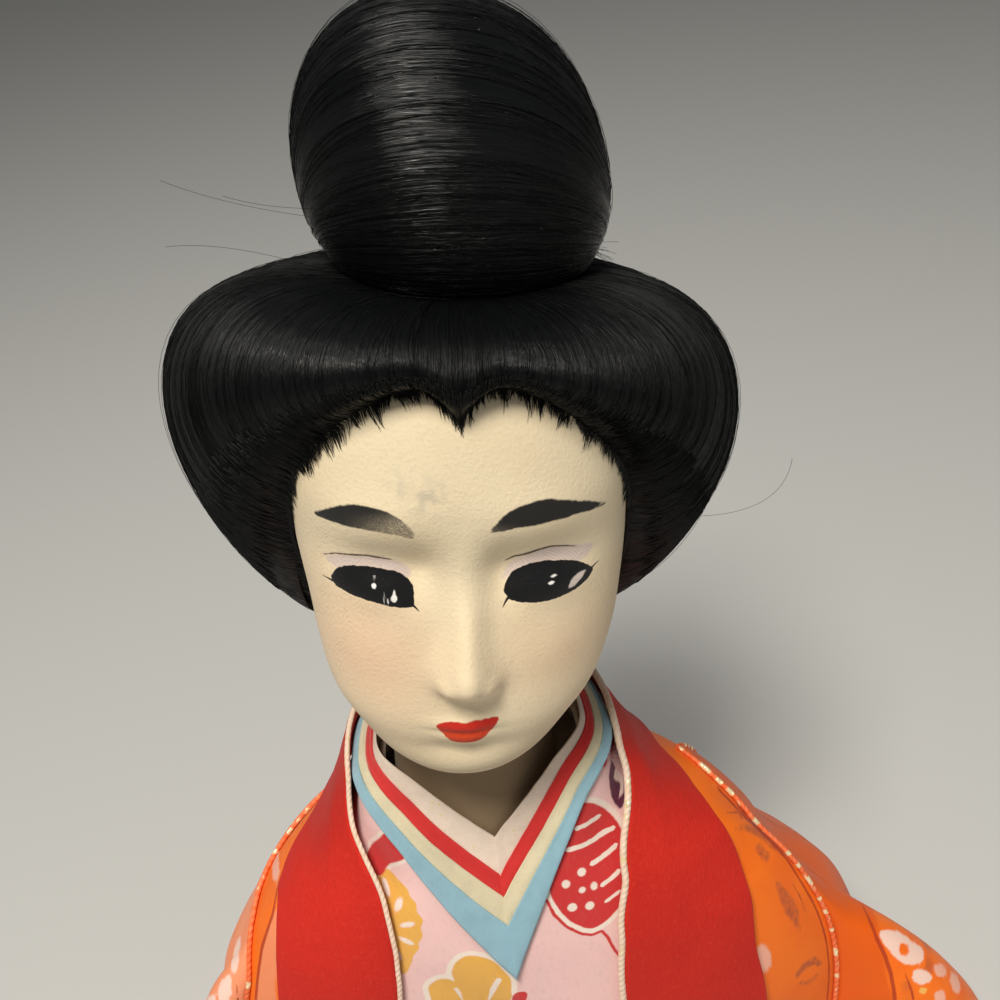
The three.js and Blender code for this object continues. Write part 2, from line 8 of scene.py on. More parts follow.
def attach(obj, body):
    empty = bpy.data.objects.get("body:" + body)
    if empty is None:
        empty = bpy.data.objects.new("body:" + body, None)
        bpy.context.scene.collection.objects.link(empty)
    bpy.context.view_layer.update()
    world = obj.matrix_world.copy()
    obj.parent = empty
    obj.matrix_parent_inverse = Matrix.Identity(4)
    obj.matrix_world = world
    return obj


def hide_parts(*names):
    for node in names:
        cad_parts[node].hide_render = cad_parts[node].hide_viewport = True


# The looks of the geisha doll's bust. Shapes are worked out in millimetres in the doll's own frame
# and put into the meshes in metres in the model's frame.
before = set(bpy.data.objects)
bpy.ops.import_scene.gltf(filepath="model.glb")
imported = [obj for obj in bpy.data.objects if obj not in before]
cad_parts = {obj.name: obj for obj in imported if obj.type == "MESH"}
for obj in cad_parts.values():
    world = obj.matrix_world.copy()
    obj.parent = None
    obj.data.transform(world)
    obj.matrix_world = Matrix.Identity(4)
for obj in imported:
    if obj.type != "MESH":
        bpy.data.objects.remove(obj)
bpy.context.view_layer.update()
draw = np.random.default_rng(11)
print("frame loaded,", len(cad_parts), "nodes")

doll = {
    "footprint": (8.89, 2.95, 0.0),   # the doll's frame beside the model's, mm
    "headPlace": (2.9, 0.0, 140.0),   # eye level on the head's axis
    "headY": 6.8, "headZ": -1.33,     # degrees it turns about those axes
    "neckShift": 2.4, "gap": 0.35, "clothThick": 0.65, "stripGap": 0.5, "robeThick": 1.0, "robeEase": 0.7,
    "wideThick": 1.1,
    "sectionPower": 2.3,              # level sections of the body are superellipses
}


# Sums and curves

def ramp(a, b, x):
    # a smooth step from 0 at a to 1 at b
    t = np.clip((x - a) / (b - a), 0, 1)
    return t * t * (3 - 2 * t)


def bell(x, width):
    # exp(-(x / width)^2)
    return np.exp(-((x / width) ** 2))


def cubic(a, b, da, db, t):
    # from a to b with slopes da and db at the ends, t from 0 to 1
    return a * (1 + 2 * t) * (1 - t) ** 2 + b * t * t * (3 - 2 * t) + t * (1 - t) * (da * (1 - t) - db * t)


def through(keys, x, column=1):
    # a cubic through rows [x, value, ...], each slope taken from the two neighbours, level beyond the ends
    k, x = np.asarray(keys, float), np.asarray(x, float)
    i = np.clip(np.searchsorted(k[:, 0], x) - 1, 0, len(k) - 2)
    n = np.arange(len(k))
    before, after = np.maximum(n - 1, 0), np.minimum(n + 1, len(k) - 1)
    slope = (k[after, column] - k[before, column]) / (k[after, 0] - k[before, 0])
    h = k[i + 1, 0] - k[i, 0]
    return cubic(k[i, column], k[i + 1, column], h * slope[i], h * slope[i + 1], np.clip((x - k[i, 0]) / h, 0, 1))


def unit(v):
    return v / np.maximum(np.linalg.norm(v, axis=-1, keepdims=True), 1e-9)


def waver(x, y, size, seed):
    # a smooth uneven value of about -1 to 1: five crossed sines of random direction, size mm long
    turn, total = np.random.default_rng(seed), 0
    for k in range(5):
        a, b, c = turn.uniform(0, 2 * np.pi, 3)
        stretch = 2 * np.pi / size * (0.6 + 0.25 * k)
        total = total + np.sin(stretch * (x * np.cos(a) + y * np.sin(a)) + b) * (0.6 + 0.4 * np.cos(c))
    return total / 3


def crowded(count, where, most, spread):
    # positions 0 to 1 whose spacing shrinks near the places given: the running sum of
    # 1 + most * bell(distance / spread), scaled to end at 1
    t = np.linspace(0, 1, 4000)
    dense = 1 + most * sum(bell(t - w, spread) for w in where)
    total = np.concatenate([[0], np.cumsum((dense[1:] + dense[:-1]) / 2)])
    return np.interp(np.linspace(0, total[-1], count), total, t)


# Meshes: grids of points whose last column joins the first

def gridFaces(rows, columns, over=False):
    i, j = np.mgrid[0:rows if over else rows - 1, 0:columns]
    i2, j2 = (i + 1) % rows, (j + 1) % columns
    return np.stack([i * columns + j, i * columns + j2, i2 * columns + j2, i2 * columns + j], -1).reshape(-1, 4)


def gridCorners(u, v):
    # the quads' corner coordinates; u and v hold the joining column, and row, once more at their end
    around = [np.stack([a[:-1, :-1], a[:-1, 1:], a[1:, 1:], a[1:, :-1]], -1) for a in (u, v)]
    return np.stack(around, -1).reshape(-1, 4, 2)


def runLengths(points, axis, closed=False):
    # the distance walked along the grid in one direction, with the closing step at the end
    walk = np.concatenate([points, np.take(points, [0], axis)], axis) if closed else points
    steps = np.cumsum(np.linalg.norm(np.diff(walk, axis=axis), axis=-1), axis)
    return np.concatenate([0 * np.take(steps, [0], axis), steps], axis)


def outward(points, quads, tris, corners, values):
    # turns the faces round where the enclosed volume, the sum of a . (b x c) / 6, is negative
    p = points - points.mean(0)
    size = sum((p[f[:, 0]] * np.cross(p[f[:, 1]], p[f[:, 2]])).sum() for f in (quads, quads[:, [0, 2, 3]], tris))
    if size < 0:
        quads, tris, corners = quads[:, ::-1], tris[:, ::-1], corners[:, ::-1]
    return {"points": points, "quads": quads, "tris": tris, "corners": corners, "values": values}


def shell(points, ends, values={}, uv=None):
    # one closed skin. Its ends are joined to each other, closed by fans to their middles, or closed across
    # the thickness of a wall whose second half of columns runs back inside the first
    rows, columns = points.shape[:2]
    over = ends == "joined"
    if uv is None:
        u, v = runLengths(points, 1, True), runLengths(points, 0, over)
        uv = (np.concatenate([u, u[:1]]) if over else u), np.concatenate([v, v[:, :1]], 1)
    quads, corners = gridFaces(rows, columns, over), gridCorners(*uv)
    points, tris, last = points.reshape(-1, 3), np.zeros((0, 3), int), (rows - 1) * columns
    if ends == "fans":
        ring, tip = np.arange(columns), len(points) + 0 * np.arange(columns)
        tris = np.concatenate([np.stack([np.roll(ring, -1), ring, tip], -1),
                               np.stack([ring + last, np.roll(ring, -1) + last, tip + 1], -1)])
        values = {name: np.append(v, [np.ravel(v)[-1]] * 2) for name, v in values.items()}
        points = np.concatenate([points, [points[ring].mean(0), points[ring + last].mean(0)]])
    if ends == "wall":
        j = np.arange(columns // 2 - 1)
        across = np.stack([j, j + 1, columns - 2 - j, columns - 1 - j], -1)
        quads = np.concatenate([quads, across[:, ::-1], across + last])
        corners = np.concatenate([corners, np.zeros((2 * len(j), 4, 2))])
    return outward(points, quads, tris, corners, {name: np.ravel(v) for name, v in values.items()})


def cords(paths, radii, facing, sides=3, values={}):
    # round tubes along paths (n, m, 3): each section is a ring in the plane across the path, and the first
    # and last are closed by fans; radii and values are (n, m) or (n, m, sides)
    n, m = paths.shape[:2]
    full = lambda v: np.broadcast_to(np.reshape(v, (n, m, -1)), (n, m, sides))
    along = unit(np.gradient(paths, axis=1))
    across = unit(np.cross(along, np.broadcast_to(np.asarray(facing, float), along.shape)))
    a = 2 * np.pi * np.arange(sides) / sides
    ring = np.cross(across, along)[:, :, None] * np.cos(a)[:, None] + across[:, :, None] * np.sin(a)[:, None]
    skin = paths[:, :, None] + ring * full(radii)[..., None]
    start = np.arange(n)[:, None, None] * m * sides
    u = np.broadcast_to(np.arange(sides + 1) / sides, (m, sides + 1))
    corners = [gridCorners(u, np.repeat(w[:, None], sides + 1, 1)) for w in runLengths(paths, 1)]
    ring, far = start[..., 0] + np.arange(sides), (m - 1) * sides
    tip = n * m * sides + np.arange(n)[:, None] + 0 * ring
    tris = np.concatenate([np.stack([np.roll(ring, -1, 1), ring, tip], -1),
                           np.stack([ring + far, np.roll(ring, -1, 1) + far, tip + n], -1)])
    values = {name: np.concatenate([full(v).ravel(), full(v)[:, 0, 0], full(v)[:, -1, 0]])
              for name, v in values.items()}
    return outward(np.concatenate([skin.reshape(-1, 3), paths[:, 0], paths[:, -1]]),
                   (gridFaces(m, sides) + start).reshape(-1, 4), tris.reshape(-1, 3), np.concatenate(corners),
                   values)


def makePiece(name, parts, finish, nodes=(), onHead=False):
    # one mesh object from shells, taken from the doll's frame, or the head's, in millimetres to the model's
    # in metres; it rides on the doll's one body and stands for its CAD nodes
    counts = np.cumsum([0] + [len(p["points"]) for p in parts])
    points = np.concatenate([p["points"] for p in parts])
    if onHead:
        lean, turn = (Matrix.Rotation(math.radians(doll[k]), 3, k[4:]) for k in ("headY", "headZ"))
        points = points @ np.array(lean @ turn).T + doll["headPlace"]
    points = (points - doll["footprint"]) / 1000
    points[:, 2] = np.maximum(points[:, 2], 0)   # nothing reaches below the cut
    quads, tris = (np.concatenate([p[k] + c for p, c in zip(parts, counts)]) for k in ("quads", "tris"))
    mesh = bpy.data.meshes.new(name)
    mesh.from_pydata(points.tolist(), [], quads.tolist() + tris.tolist())
    mesh.shade_smooth()
    flat = np.concatenate([p["corners"].reshape(-1, 2) for p in parts] + [np.zeros((tris.size, 2))])
    mesh.uv_layers.new(name="cloth").data.foreach_set("uv", (flat / 10).ravel())   # one unit is 10 mm
    for key in sorted({k for p in parts for k in p["values"]}):
        merged = np.concatenate([p["values"].get(key, np.zeros(len(p["points"]))) for p in parts])
        mesh.attributes.new(key, "FLOAT", "POINT").data.foreach_set("value", merged)
    mesh.validate()
    mesh.materials.append(finish)
    piece = placeInScene(name, mesh)
    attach(piece, "root")
    if nodes:
        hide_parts(*nodes)
    print(name, len(quads) * 2 + len(tris), "triangles")


def placeInScene(name, data):
    made = bpy.data.objects.new(name, data)
    bpy.context.scene.collection.objects.link(made)
    return made


# Painted and printed shapes: distances in millimetres, negative inside

def rounded(outline, steps=6):
    # a closed Catmull-Rom curve through the outline's points
    a, b, c, d = (np.roll(outline, n, 0)[:, None] for n in (1, 0, -1, -2))
    t = (np.arange(steps) / steps)[:, None]
    curve = 2 * b + (c - a) * t + (2 * a - 5 * b + 4 * c - d) * t ** 2 + (3 * b - a - 3 * c + d) * t ** 3
    return 0.5 * curve.reshape(-1, 2)


def distanceTo(x, y, drawn, closed=True, reach=3.0):
    # mm to a closed outline [x, y, x, y ...], negative within it by the even-odd count of crossings, or to
    # an open stroke [x, y, half width ...] less its half width there
    line = rounded(np.reshape(drawn, (-1, 2))) if closed else np.reshape(drawn, (-1, 3))
    a, b = (line, np.roll(line, -1, 0)) if closed else (line[:-1], line[1:])
    flat, wide, step = np.stack([np.ravel(x), np.ravel(y)], -1), line[:, 2:], (b - a)[:, :2]
    result = np.full(len(flat), reach)
    close = (flat > line[:, :2].min(0) - reach) & (flat < line[:, :2].max(0) + reach)
    for part in np.array_split(np.nonzero(close.all(1))[0], len(flat) // 20000 + 1):
        p = flat[part][:, None]
        t = np.clip(((p - a[:, :2]) * step).sum(-1) / np.maximum((step ** 2).sum(-1), 1e-9), 0, 1)
        far = np.linalg.norm(p - a[:, :2] - step * t[..., None], axis=-1)
        if closed:
            crosses = (a[:, 1] > p[..., 1]) != (b[:, 1] > p[..., 1])
            slope = step[:, 0] / np.where(np.abs(step[:, 1]) < 1e-12, 1e-12, step[:, 1])
            inside = (crosses & (p[..., 0] < a[:, 0] + (p[..., 1] - a[:, 1]) * slope)).sum(1) % 2
            result[part] = far.min(1) * (1 - 2 * inside)
        else:
            result[part] = (far - wide[:-1, 0] - (wide[1:, 0] - wide[:-1, 0]) * t).min(1)
    return np.minimum(result, reach).reshape(x.shape)


def drawnLine(x, y, strokes, reach=2.0):
    # for thin lines: the signed offset from the nearest stroke's line and the half width there, less the
    # overshoot past its ends, so that the shader draws |offset| < width smoothly between the vertices
    offset, wide, best = np.full(x.shape, reach), np.full(x.shape, -reach), np.full(x.shape, reach)
    for stroke in strokes:
        keys = np.reshape(stroke, (-1, 3))
        for (ax, ay, w), (bx, by, w2) in zip(keys[:-1], keys[1:]):
            size = np.hypot(bx - ax, by - ay)
            ux, uy = (bx - ax) / size, (by - ay) / size
            along, off = (x - ax) * ux + (y - ay) * uy, (y - ay) * ux - (x - ax) * uy
            past = np.maximum(0, np.maximum(-along, along - size))
            far = np.hypot(off, past)
            here = w + (w2 - w) * np.clip(along / size, 0, 1)
            here = here - past - 6 * np.maximum(0, np.abs(off) - here - 0.5)
            closer = far < best
            offset, wide, best = (np.where(closer, *pair) for pair in ((off, offset), (here, wide), (far, best)))
    return offset, wide


def spots(x, y, rows):
    # distance to ellipses [x, y, half widths, turn], near enough for small ones
    def one(cx, cy, rx, ry, turn=0.0):
        c, s = math.cos(math.radians(turn)), math.sin(math.radians(turn))
        u, v = (x - cx) * c + (y - cy) * s, -(x - cx) * s + (y - cy) * c
        return (np.hypot(u / rx, v / ry) - 1) * min(rx, ry)
    return anyOf(np.full(x.shape, 3.0), *[one(*row) for row in rows])


def shapes(x, y, outlines, closed=True):
    return anyOf(np.full(x.shape, 3.0), *[distanceTo(x, y, o, closed) for o in outlines])


def anyOf(*distances):
    return np.minimum.reduce(distances)


# Finishes

class Wire:
    # a socket that can be added, subtracted and multiplied, each of which makes a Math node

    def __init__(self, finish, socket):
        self.finish, self.socket = finish, socket

    def math(self, operation, *values):
        return self.finish.node("Math", dict(enumerate(values or (self,))), operation=operation)

    __add__ = lambda self, b: self.math("ADD", self, b)
    __sub__ = lambda self, b: self.math("SUBTRACT", self, b)
    __rsub__ = lambda self, a: self.math("SUBTRACT", a, self)
    __mul__ = lambda self, b: self.math("MULTIPLY", self, b)
    most = lambda self, b: self.math("MAXIMUM", self, b)

    def spread(self, low, high, first=0.0, last=1.0):
        return self.finish.node("MapRange", {"Value": self, "From Min": low, "From Max": high, "To Min": first,
                                             "To Max": last}, "Result", interpolation_type="SMOOTHSTEP")

    def split(self, part, kind="SeparateXYZ"):
        return self.finish.node(kind, {0: self}, part)


class Finish:
    # a material and short words for its nodes; tone is its colour as painted so far

    def __init__(self, name, colour, roughness, **sockets):
        self.material = bpy.data.materials.new(name)
        self.material.use_nodes = True
        self.tree, self.tone = self.material.node_tree, colour
        self.body = self.tree.nodes["Principled BSDF"]
        for key, value in {"Base_Color": (*colour, 1), "Roughness": roughness, **sockets}.items():
            self.body.inputs[key.replace("_", " ")].default_value = value
        self.at, self.cloth = self.node("TexCoord", {}, "Object"), self.node("UVMap", {}, "UV", uv_map="cloth")

    def node(self, kind, inputs, out=0, **settings):
        made = self.tree.nodes.new("ShaderNode" + kind)
        for key, value in settings.items():
            setattr(made, key, value)
        for key, value in inputs.items():
            socket = made.inputs[key]
            if isinstance(value, Wire):
                self.tree.links.new(value.socket, socket)
            else:
                socket.default_value = (*value, 1) if socket.type == "RGBA" else value
        return Wire(self, made.outputs[out])

    def value(self, name):
        return self.node("Attribute", {}, "Fac", attribute_name=name)

    def noise(self, scale, detail=2.0, rough=0.5, on=None, out="Fac"):
        inputs = {"Vector": on or self.at, "Scale": scale, "Detail": detail, "Roughness": rough}
        return self.node("TexNoise", inputs, out)

    def scaled(self, vector, scale, turn=(0, 0, 0)):
        return self.node("Mapping", {"Vector": vector, "Scale": scale, "Rotation": turn})

    def bent(self, vector, drift, amount):
        # a vector pushed about by a noise's colours
        return self.node("VectorMath", {0: drift, 1: amount, 2: vector}, operation="MULTIPLY_ADD")

    def specks(self, scale, share, step, edge):
        # round specks in a share of a Voronoi pattern's cells
        cells = self.node("TexVoronoi", {"Vector": self.at, "Scale": scale}, "Distance")
        kept = Wire(self, cells.socket.node.outputs["Color"]).split(0, "SeparateColor")
        return cells.spread(*edge) * kept.spread(1 - share, 1 - share + step)

    def weave(self, pitch, on=None):
        # over and under threads, pitch mm apart: the product of two sines across the cloth's own coordinates
        warp, weft = (((on or self.cloth).split(i) * (2 * math.pi * 10 / pitch)).math("SINE") for i in (0, 1))
        return warp * weft

    def edge(self, name, soft=0.08, fray=None):
        # 1 inside a painted shape and 0 outside, with an edge soft mm wide
        d = self.value(name)
        return (d if fray is None else d + fray).spread(soft, -soft)

    def line(self, name, soft=0.06, fray=None):
        # 1 on a drawn line, from its signed offset and half width
        d = self.value(name + "Off").math("ABSOLUTE") - self.value(name + "Wide")
        return (d if fray is None else d + fray).spread(soft, -soft)

    def mix(self, share, below, above):
        return self.node("Mix", {"Factor": share, 6: below, 7: above}, 2, data_type="RGBA")

    def paint(self, share, colour):
        self.tone = self.mix(share, self.tone, colour)

    def done(self, height, depth, strength=0.8, **links):
        bump = self.node("Bump", {"Height": height, "Distance": depth, "Strength": strength})
        for key, wire in {"Base_Color": self.tone, "Normal": bump, **links}.items():
            self.tree.links.new(wire.socket, self.body.inputs[key.replace("_", " ")])
        return self.material


# Camera, fitted to the photograph: px = 500 + f v.right / v.ahead, py = 500 - f v.up / v.ahead
camera = {"place": (-0.19, -149.18, 236.34), "down": 34.0, "roll": 8.2, "focal": 1237.0}
down, roll = math.radians(camera["down"]), math.radians(camera["roll"])
ahead, level = np.array([0, math.cos(down), -math.sin(down)]), np.array([0, math.sin(down), math.cos(down)])
rightward = math.cos(roll) * np.array([1, 0, 0]) - math.sin(roll) * level
upward = math.sin(roll) * np.array([1, 0, 0]) + math.cos(roll) * level
lens = bpy.data.cameras.new("camera")
lens.sensor_width, lens.lens, lens.clip_start = 36.0, camera["focal"] * 36.0 / 1000.0, 0.01
eye = placeInScene("camera", lens)
eye.matrix_world = (Matrix.Translation([c / 1000 for c in camera["place"]])
                    @ Matrix(np.stack([rightward, upward, -ahead], -1).tolist()).to_4x4())
bpy.context.scene.camera = eye
print("camera placed")


# Head: stations are loops round it, [place, front y, front z, back y, back z, half width,
# where the widest point lies from front to back, squareness of the front]
head = {
    "stations": [[0, -7, 28.4, 14, 28.2, 10, 0.5, 2.1], [1, -13.8, 27.6, 21.5, 26.8, 16.5, 0.48, 2.1],
        [2, -17.6, 25.4, 25.3, 24, 20, 0.46, 2.2], [3, -19.6, 21.5, 27.3, 19, 22.3, 0.44, 2.3],
        [4, -21.2, 11, 28, 11, 23.5, 0.42, 2.4], [5, -20.4, 0, 27, -1, 23.4, 0.4, 2.5],
        [6, -21, -8, 24.5, -8, 22.8, 0.37, 2.4], [7, -21.6, -16, 21.5, -13, 21.9, 0.36, 2.3],
        [8, -22, -23.5, 18.5, -18, 19.9, 0.36, 2.3], [9, -21.3, -29, 17, -21.5, 17.2, 0.36, 2.25],
        [10, -20.4, -33.8, 16, -24.5, 14.2, 0.36, 2.2], [11, -18, -36.7, 15.3, -27, 11.3, 0.36, 2.1],
        [12, -12.8, -37.4, 15, -30, 11.2, 0.42, 2], [13, -7.4, -38.4, 14.8, -34, 11.4, 0.5, 2],
        [14, -6.6, -45, 14.8, -44, 12.4, 0.5, 2], [15, -7.8, -52, 15.2, -52, 13.3, 0.5, 2],
        [16, -9.6, -59, 15.6, -59, 13.8, 0.5, 2], [17, -9.9, -62.5, 15.6, -62.5, 13.8, 0.5, 2]],
    "rows": 216, "columns": 262,
    "slimmer": 0.06,                  # how much the cheek at its right is fuller than at its left
    "cloth": (0.82, 0.69, 0.48), "blush": (0.93, 0.52, 0.33), "paint": (0.006, 0.006, 0.007),
    "lipRed": (0.52, 0.022, 0.012), "lipLow": (0.62, 0.055, 0.014), "lidShade": (0.60, 0.48, 0.48),
    # the neck's colour here is the brown of the painted shade on the chin and neck
    "crease": (0.045, 0.028, 0.024), "neck": (0.24, 0.155, 0.085), "weavePitch": 0.6,
}

# what is painted on the face, at x and z in the head's frame: outlines [x, z, x, z ...], strokes
# [x, z, half width ...] and glints [x, z, half widths]
paint = {
    "eyes": [[-17, -1.9, -16.1, -0.2, -14.4, 0.6, -12.4, 0.9, -10.2, 0.8, -8.5, 0.5, -7.2, -0.3, -6.3, -1.6, -6.2, -3,
        -6.5, -4.2, -8.4, -4.2, -10.9, -3.7, -13.3, -3.4, -15.2, -3.2, -16.5, -2.8], [5.8, -3.3, 5.4, -2.3, 5.9, -1.1,
        6.7, -0.1, 7.8, 0.6, 9, 1, 10.7, 1.1, 12.3, 0.9, 14.2, 0.5, 15.8, -0.3, 17.4, -1.8, 17, -2.6, 16.5, -3.1,
        15.3, -3.6, 13.7, -3.9, 12.1, -4.1, 10.2, -4.2, 8.5, -4.1, 6.9, -3.9]],
    "brows": [[-18.6, 7.7, -16.2, 9.9, -13.7, 11.2, -11.8, 11.5, -10.1, 11.4, -8.5, 10.9, -7.3, 10.1, -6.4, 9.1,
        -5.8, 8, -6, 7.1, -7, 7.4, -8.8, 7.8, -11.8, 8, -13.8, 7.9, -15.5, 7.8, -17.2, 7.7], [3.6, 8, 4.6, 9.5,
        5.8, 10.7, 7.4, 11.5, 8.9, 11.8, 10.6, 11.9, 12.4, 11.4, 13.9, 10.8, 16.4, 9.6, 18.8, 7.8, 17, 8, 14.7, 8.5,
        13.1, 8.5, 11.2, 8.6, 9.3, 8.4, 7.4, 8.4, 5.4, 8]],
    "lips": [[-4, -23.6, -2.9, -22.9, -1.8, -22.7, -0.9, -22.7, 0.1, -22.9, 1, -22.6, 2.1, -22.6, 3.4, -22.5,
        4.6, -22.6, 4.1, -24.1, 3.2, -25.4, 2, -26.6, 0.7, -27.6, -0.5, -27.5, -1.9, -26.5, -3.1, -25.2]],
    "lids": [[-17.6, 0.8, -16, 1.8, -14.2, 2.1, -12.2, 2.4, -10.4, 2.4, -8.4, 2.1, -7.2, 1.3, -6.5, 0.3, -7, -0.4,
        -8.5, 0.4, -10.3, 0.7, -12.4, 0.8, -14.5, 0.5, -16.1, -0.2], [5.2, -1, 5.9, 0.6, 7.2, 1.8, 9, 2.5, 11.4, 3.2,
        13.6, 2.8, 15.6, 2.5, 17.2, 2, 17, 1, 15.6, 0, 14.1, 0.5, 12.3, 0.8, 10.7, 1, 9, 0.9, 7.6, 0.4, 6.2, -0.6]],
    "tearLight": [[13.9, -3, 14.5, -2, 15.5, -1.5, 16.3, -1.6, 16, -2.2, 15.1, -2.9, 14.4, -3.2]],
    "creases": [[-18, 1, 0.03, -16.2, 2, 0.1, -14.4, 2.3, 0.15, -12.4, 2.6, 0.17, -10.6, 2.5, 0.15, -8.8, 2.3, 0.05],
        [5.7, 1.5, 0.08, 6.8, 2.2, 0.16, 8.3, 2.6, 0.2, 9.8, 3.1, 0.2, 11.5, 3.4, 0.17, 13.3, 3, 0.12,
        15, 2.4, 0.05]],
    "lashes": [[-18.4, -2.5, 0.03, -17.6, -2.4, 0.1, -16.8, -2.4, 0.2], [-6.8, -3.7, 0.2, -6.2, -4.2, 0.14,
        -5.6, -4.9, 0.04], [6.1, -3.2, 0.2, 5.6, -3.9, 0.14, 5.2, -4.7, 0.04], [16.8, -2, 0.2, 17.6, -1.5, 0.12,
        18.4, -1.2, 0.03]],
    "glints": [[-11.25, -0.35, 0.2, 0.22], [-11.35, -1.4, 0.33, 0.36], [-8.8, -2.9, 0.4, 0.55],
        [-8.75, -2.2, 0.16, 0.4], [-10.1, -2.9, 0.09, 0.6], [-9.6, -3.3, 0.1, 0.4], [11.95, -0.9, 0.42, 0.19],
        [11.6, -1.75, 0.44, 0.24]],
}


def relief(x, z):
    # how far the features stand out of the plain oval towards the front
    side = np.abs(x)
    bridge = through([[-20.2, 0], [-18.9, 0.5], [-17.7, 1.8], [-16.3, 3.8], [-14.3, 4.8], [-11, 4.0], [-6, 2.4],
                      [-1, 1.1], [5, 0.3], [9, 0]], z)
    nose = bridge * np.exp(-(np.abs(x - 0.5) / (2.5 + ramp(-6, -15, z))) ** 2.1)
    nose = nose + 0.9 * bell(np.abs(x - 0.5) - 3.1, 1.3) * bell(z + 16.1, 1.7)
    sockets = -1.3 * bell(side - 10, 6.5) * bell(z - 1.8, 3.6) - 1.1 * bell(side - 5.4, 2.4) * bell(z - 0.5, 4.0)
    lids = 0.7 * bell(side - 11.7, 5) * bell(z + 2.4, 3)
    brows = 0.6 * bell(side - 11, 8) * bell(z - 9, 4)
    lips = (0.9 * bell(x, 3.9) * bell(z + 23.7, 1.4) + 0.9 * bell(x, 3.2) * bell(z + 26, 1.6)
            - 0.35 * bell(x, 4.4) * bell(z + 24.8, 0.6))
    chin = 0.7 * bell(x, 6) * bell(z + 32.5, 3) - 0.7 * bell(x, 6) * bell(z + 29, 1.8)
    return nose + sockets + lids + brows + lips + chin + 0.6 * bell(side - 13, 6) * bell(z + 11, 7)


def headPoint(place, angle):
    # a point of a station's loop: a superellipse (|sin / w|^e + |cos / reach|^e)^(-1/e) laid between the
    # station's front and back, and pushed forward by the relief; also x before the neck's shift
    yf, zf, yb, zb, w, mid, power = [through(head["stations"], place, i + 1) for i in range(7)]
    depth = np.hypot(yb - yf, zb - zf)
    s, c = np.sin(angle), np.cos(angle)
    w = w * np.where(s < 0, 1 - head["slimmer"] * bell(place - 6.6, 1.7), 1)
    e = np.where(c > 0, power, 2.1)
    r = (np.abs(s / w) ** e + np.abs(c / (depth * np.where(c > 0, mid, 1 - mid))) ** e) ** (-1 / e)
    back = mid - r * c / depth
    x, y, z = r * s, yf + (yb - yf) * back, zf + (zb - zf) * back
    out = np.where(c > 0, relief(x, z) * ramp(0, 0.35, c), 0)
    return np.stack([x + doll["neckShift"] * ramp(-32, -62, z), y - out, z], -1), x


def paintedFace(x, z):
    # the painted shapes as distances at the points x, z of the face, and shares from 0 to 1
    values = {key: shapes(x, z, paint[key]) for key in ("eyes", "brows", "lips", "lids", "tearLight")}
    values.update(
        glints=spots(x, z, paint["glints"]),
        blush=np.maximum(bell(np.hypot(x + 13, (z + 13) * 0.8), 8.5), 0.6 * bell(np.hypot(x - 13, z + 13), 8)),
        smudge=np.maximum(bell(np.hypot(x + 4.2, z - 13), 2.6), 0.7 * bell(np.hypot(x + 7.5, z - 14.5), 1.8)),
        browDry=(np.where(x < 0, ramp(-15.5, -6.0, x), 0.45 * ramp(12, 4, x))
                 * ramp(12.5, 9, z + 0.25 * np.abs(x + 6))),
        rough=0.25 + 0.75 * np.maximum(ramp(1, 15, x), ramp(-9, -19, x)) * ramp(12, -2, z),
        lipUp=ramp(-25.2, -23.4, z))
    for name in ("creases", "lashes"):
        values[name + "Off"], values[name + "Wide"] = drawnLine(x, z, paint[name])
    return values


def headFinish():
    f = Finish("faceCloth", head["cloth"], 0.82, Specular_IOR_Level=0.2, Sheen_Weight=0.08, Sheen_Roughness=0.5)
    # stretched over the mould, the threads wander and show only in places
    wandering = f.bent(f.cloth, f.noise(420, out="Color"), (0.1, 0.1, 0.1))
    threads = f.weave(head["weavePitch"], wandering) * f.noise(330).spread(0.4, 0.65, 0.1, 1.0)
    grain = f.noise(1900)
    f.paint(f.noise(90, 3).spread(0.35, 0.7), (0.80, 0.66, 0.45))
    f.paint(f.value("blush") * 0.45, head["blush"])
    f.paint(f.value("smudge") * f.noise(700, 3).spread(0.35, 0.75, 0, 0.42), (0.28, 0.27, 0.25))
    f.paint(grain.spread(0.5, 0.85, 0, 0.22), (0.52, 0.40, 0.27))
    f.paint(threads.spread(0.2, -0.9, 0, 0.07), (0.50, 0.38, 0.26))
    # painted shade: the chin and neck are darkened towards the head's shadow below the chin
    f.paint(f.value("neckShade"), head["neck"])
    ragged = (f.noise(1500) - 0.5) * 0.35
    hatch = (f.scaled(wandering, (1, 1, 1), (0, 0, 0.9)).split(0) * 170).math("SINE").spread(-0.6, 0.8, 0.5, 0.95)
    f.paint(f.edge("lids", 0.35, ragged) * hatch, head["lidShade"])
    # a soft brown band along each lid crease: painted shade in the fold above the lid; the thin dark line after it is
    # the crease as painted
    f.paint(f.line("creases", 0.5) * 0.45, (0.38, 0.26, 0.20))
    f.paint(f.line("creases", 0.07, ragged * 0.5) * 0.9, head["crease"])
    lips = f.mix(f.value("lipUp"), head["lipLow"], head["lipRed"])
    lips = f.mix(grain.spread(0.45, 0.8, 0, 0.3), lips, (0.30, 0.012, 0.008))
    f.paint(f.edge("lips", 0.14, ragged), lips)
    # the brows are brushed dry towards the nose, so that the cloth shows through in fine specks
    brushed = f.noise(7000, 3, 0.7).spread(0.3, 0.7, 0.1, 0.8)
    f.paint(f.edge("brows", 0.16, ragged) * (0.99 - f.value("browDry") * brushed), (0.009, 0.009, 0.010))
    eyes = f.edge("eyes", 0.07, ragged).most(f.line("lashes"))
    f.paint(eyes, head["paint"])
    f.paint(f.edge("tearLight", 0.14, ragged), (0.66, 0.56, 0.51))
    f.paint(f.edge("glints"), (0.85, 0.83, 0.8))
    cloths = threads * 0.28 + f.noise(1500, 3, 0.7)
    return f.done(cloths * f.value("rough") + grain * 0.8, 0.0001, 0.9, Roughness=0.82 - eyes * 0.3)


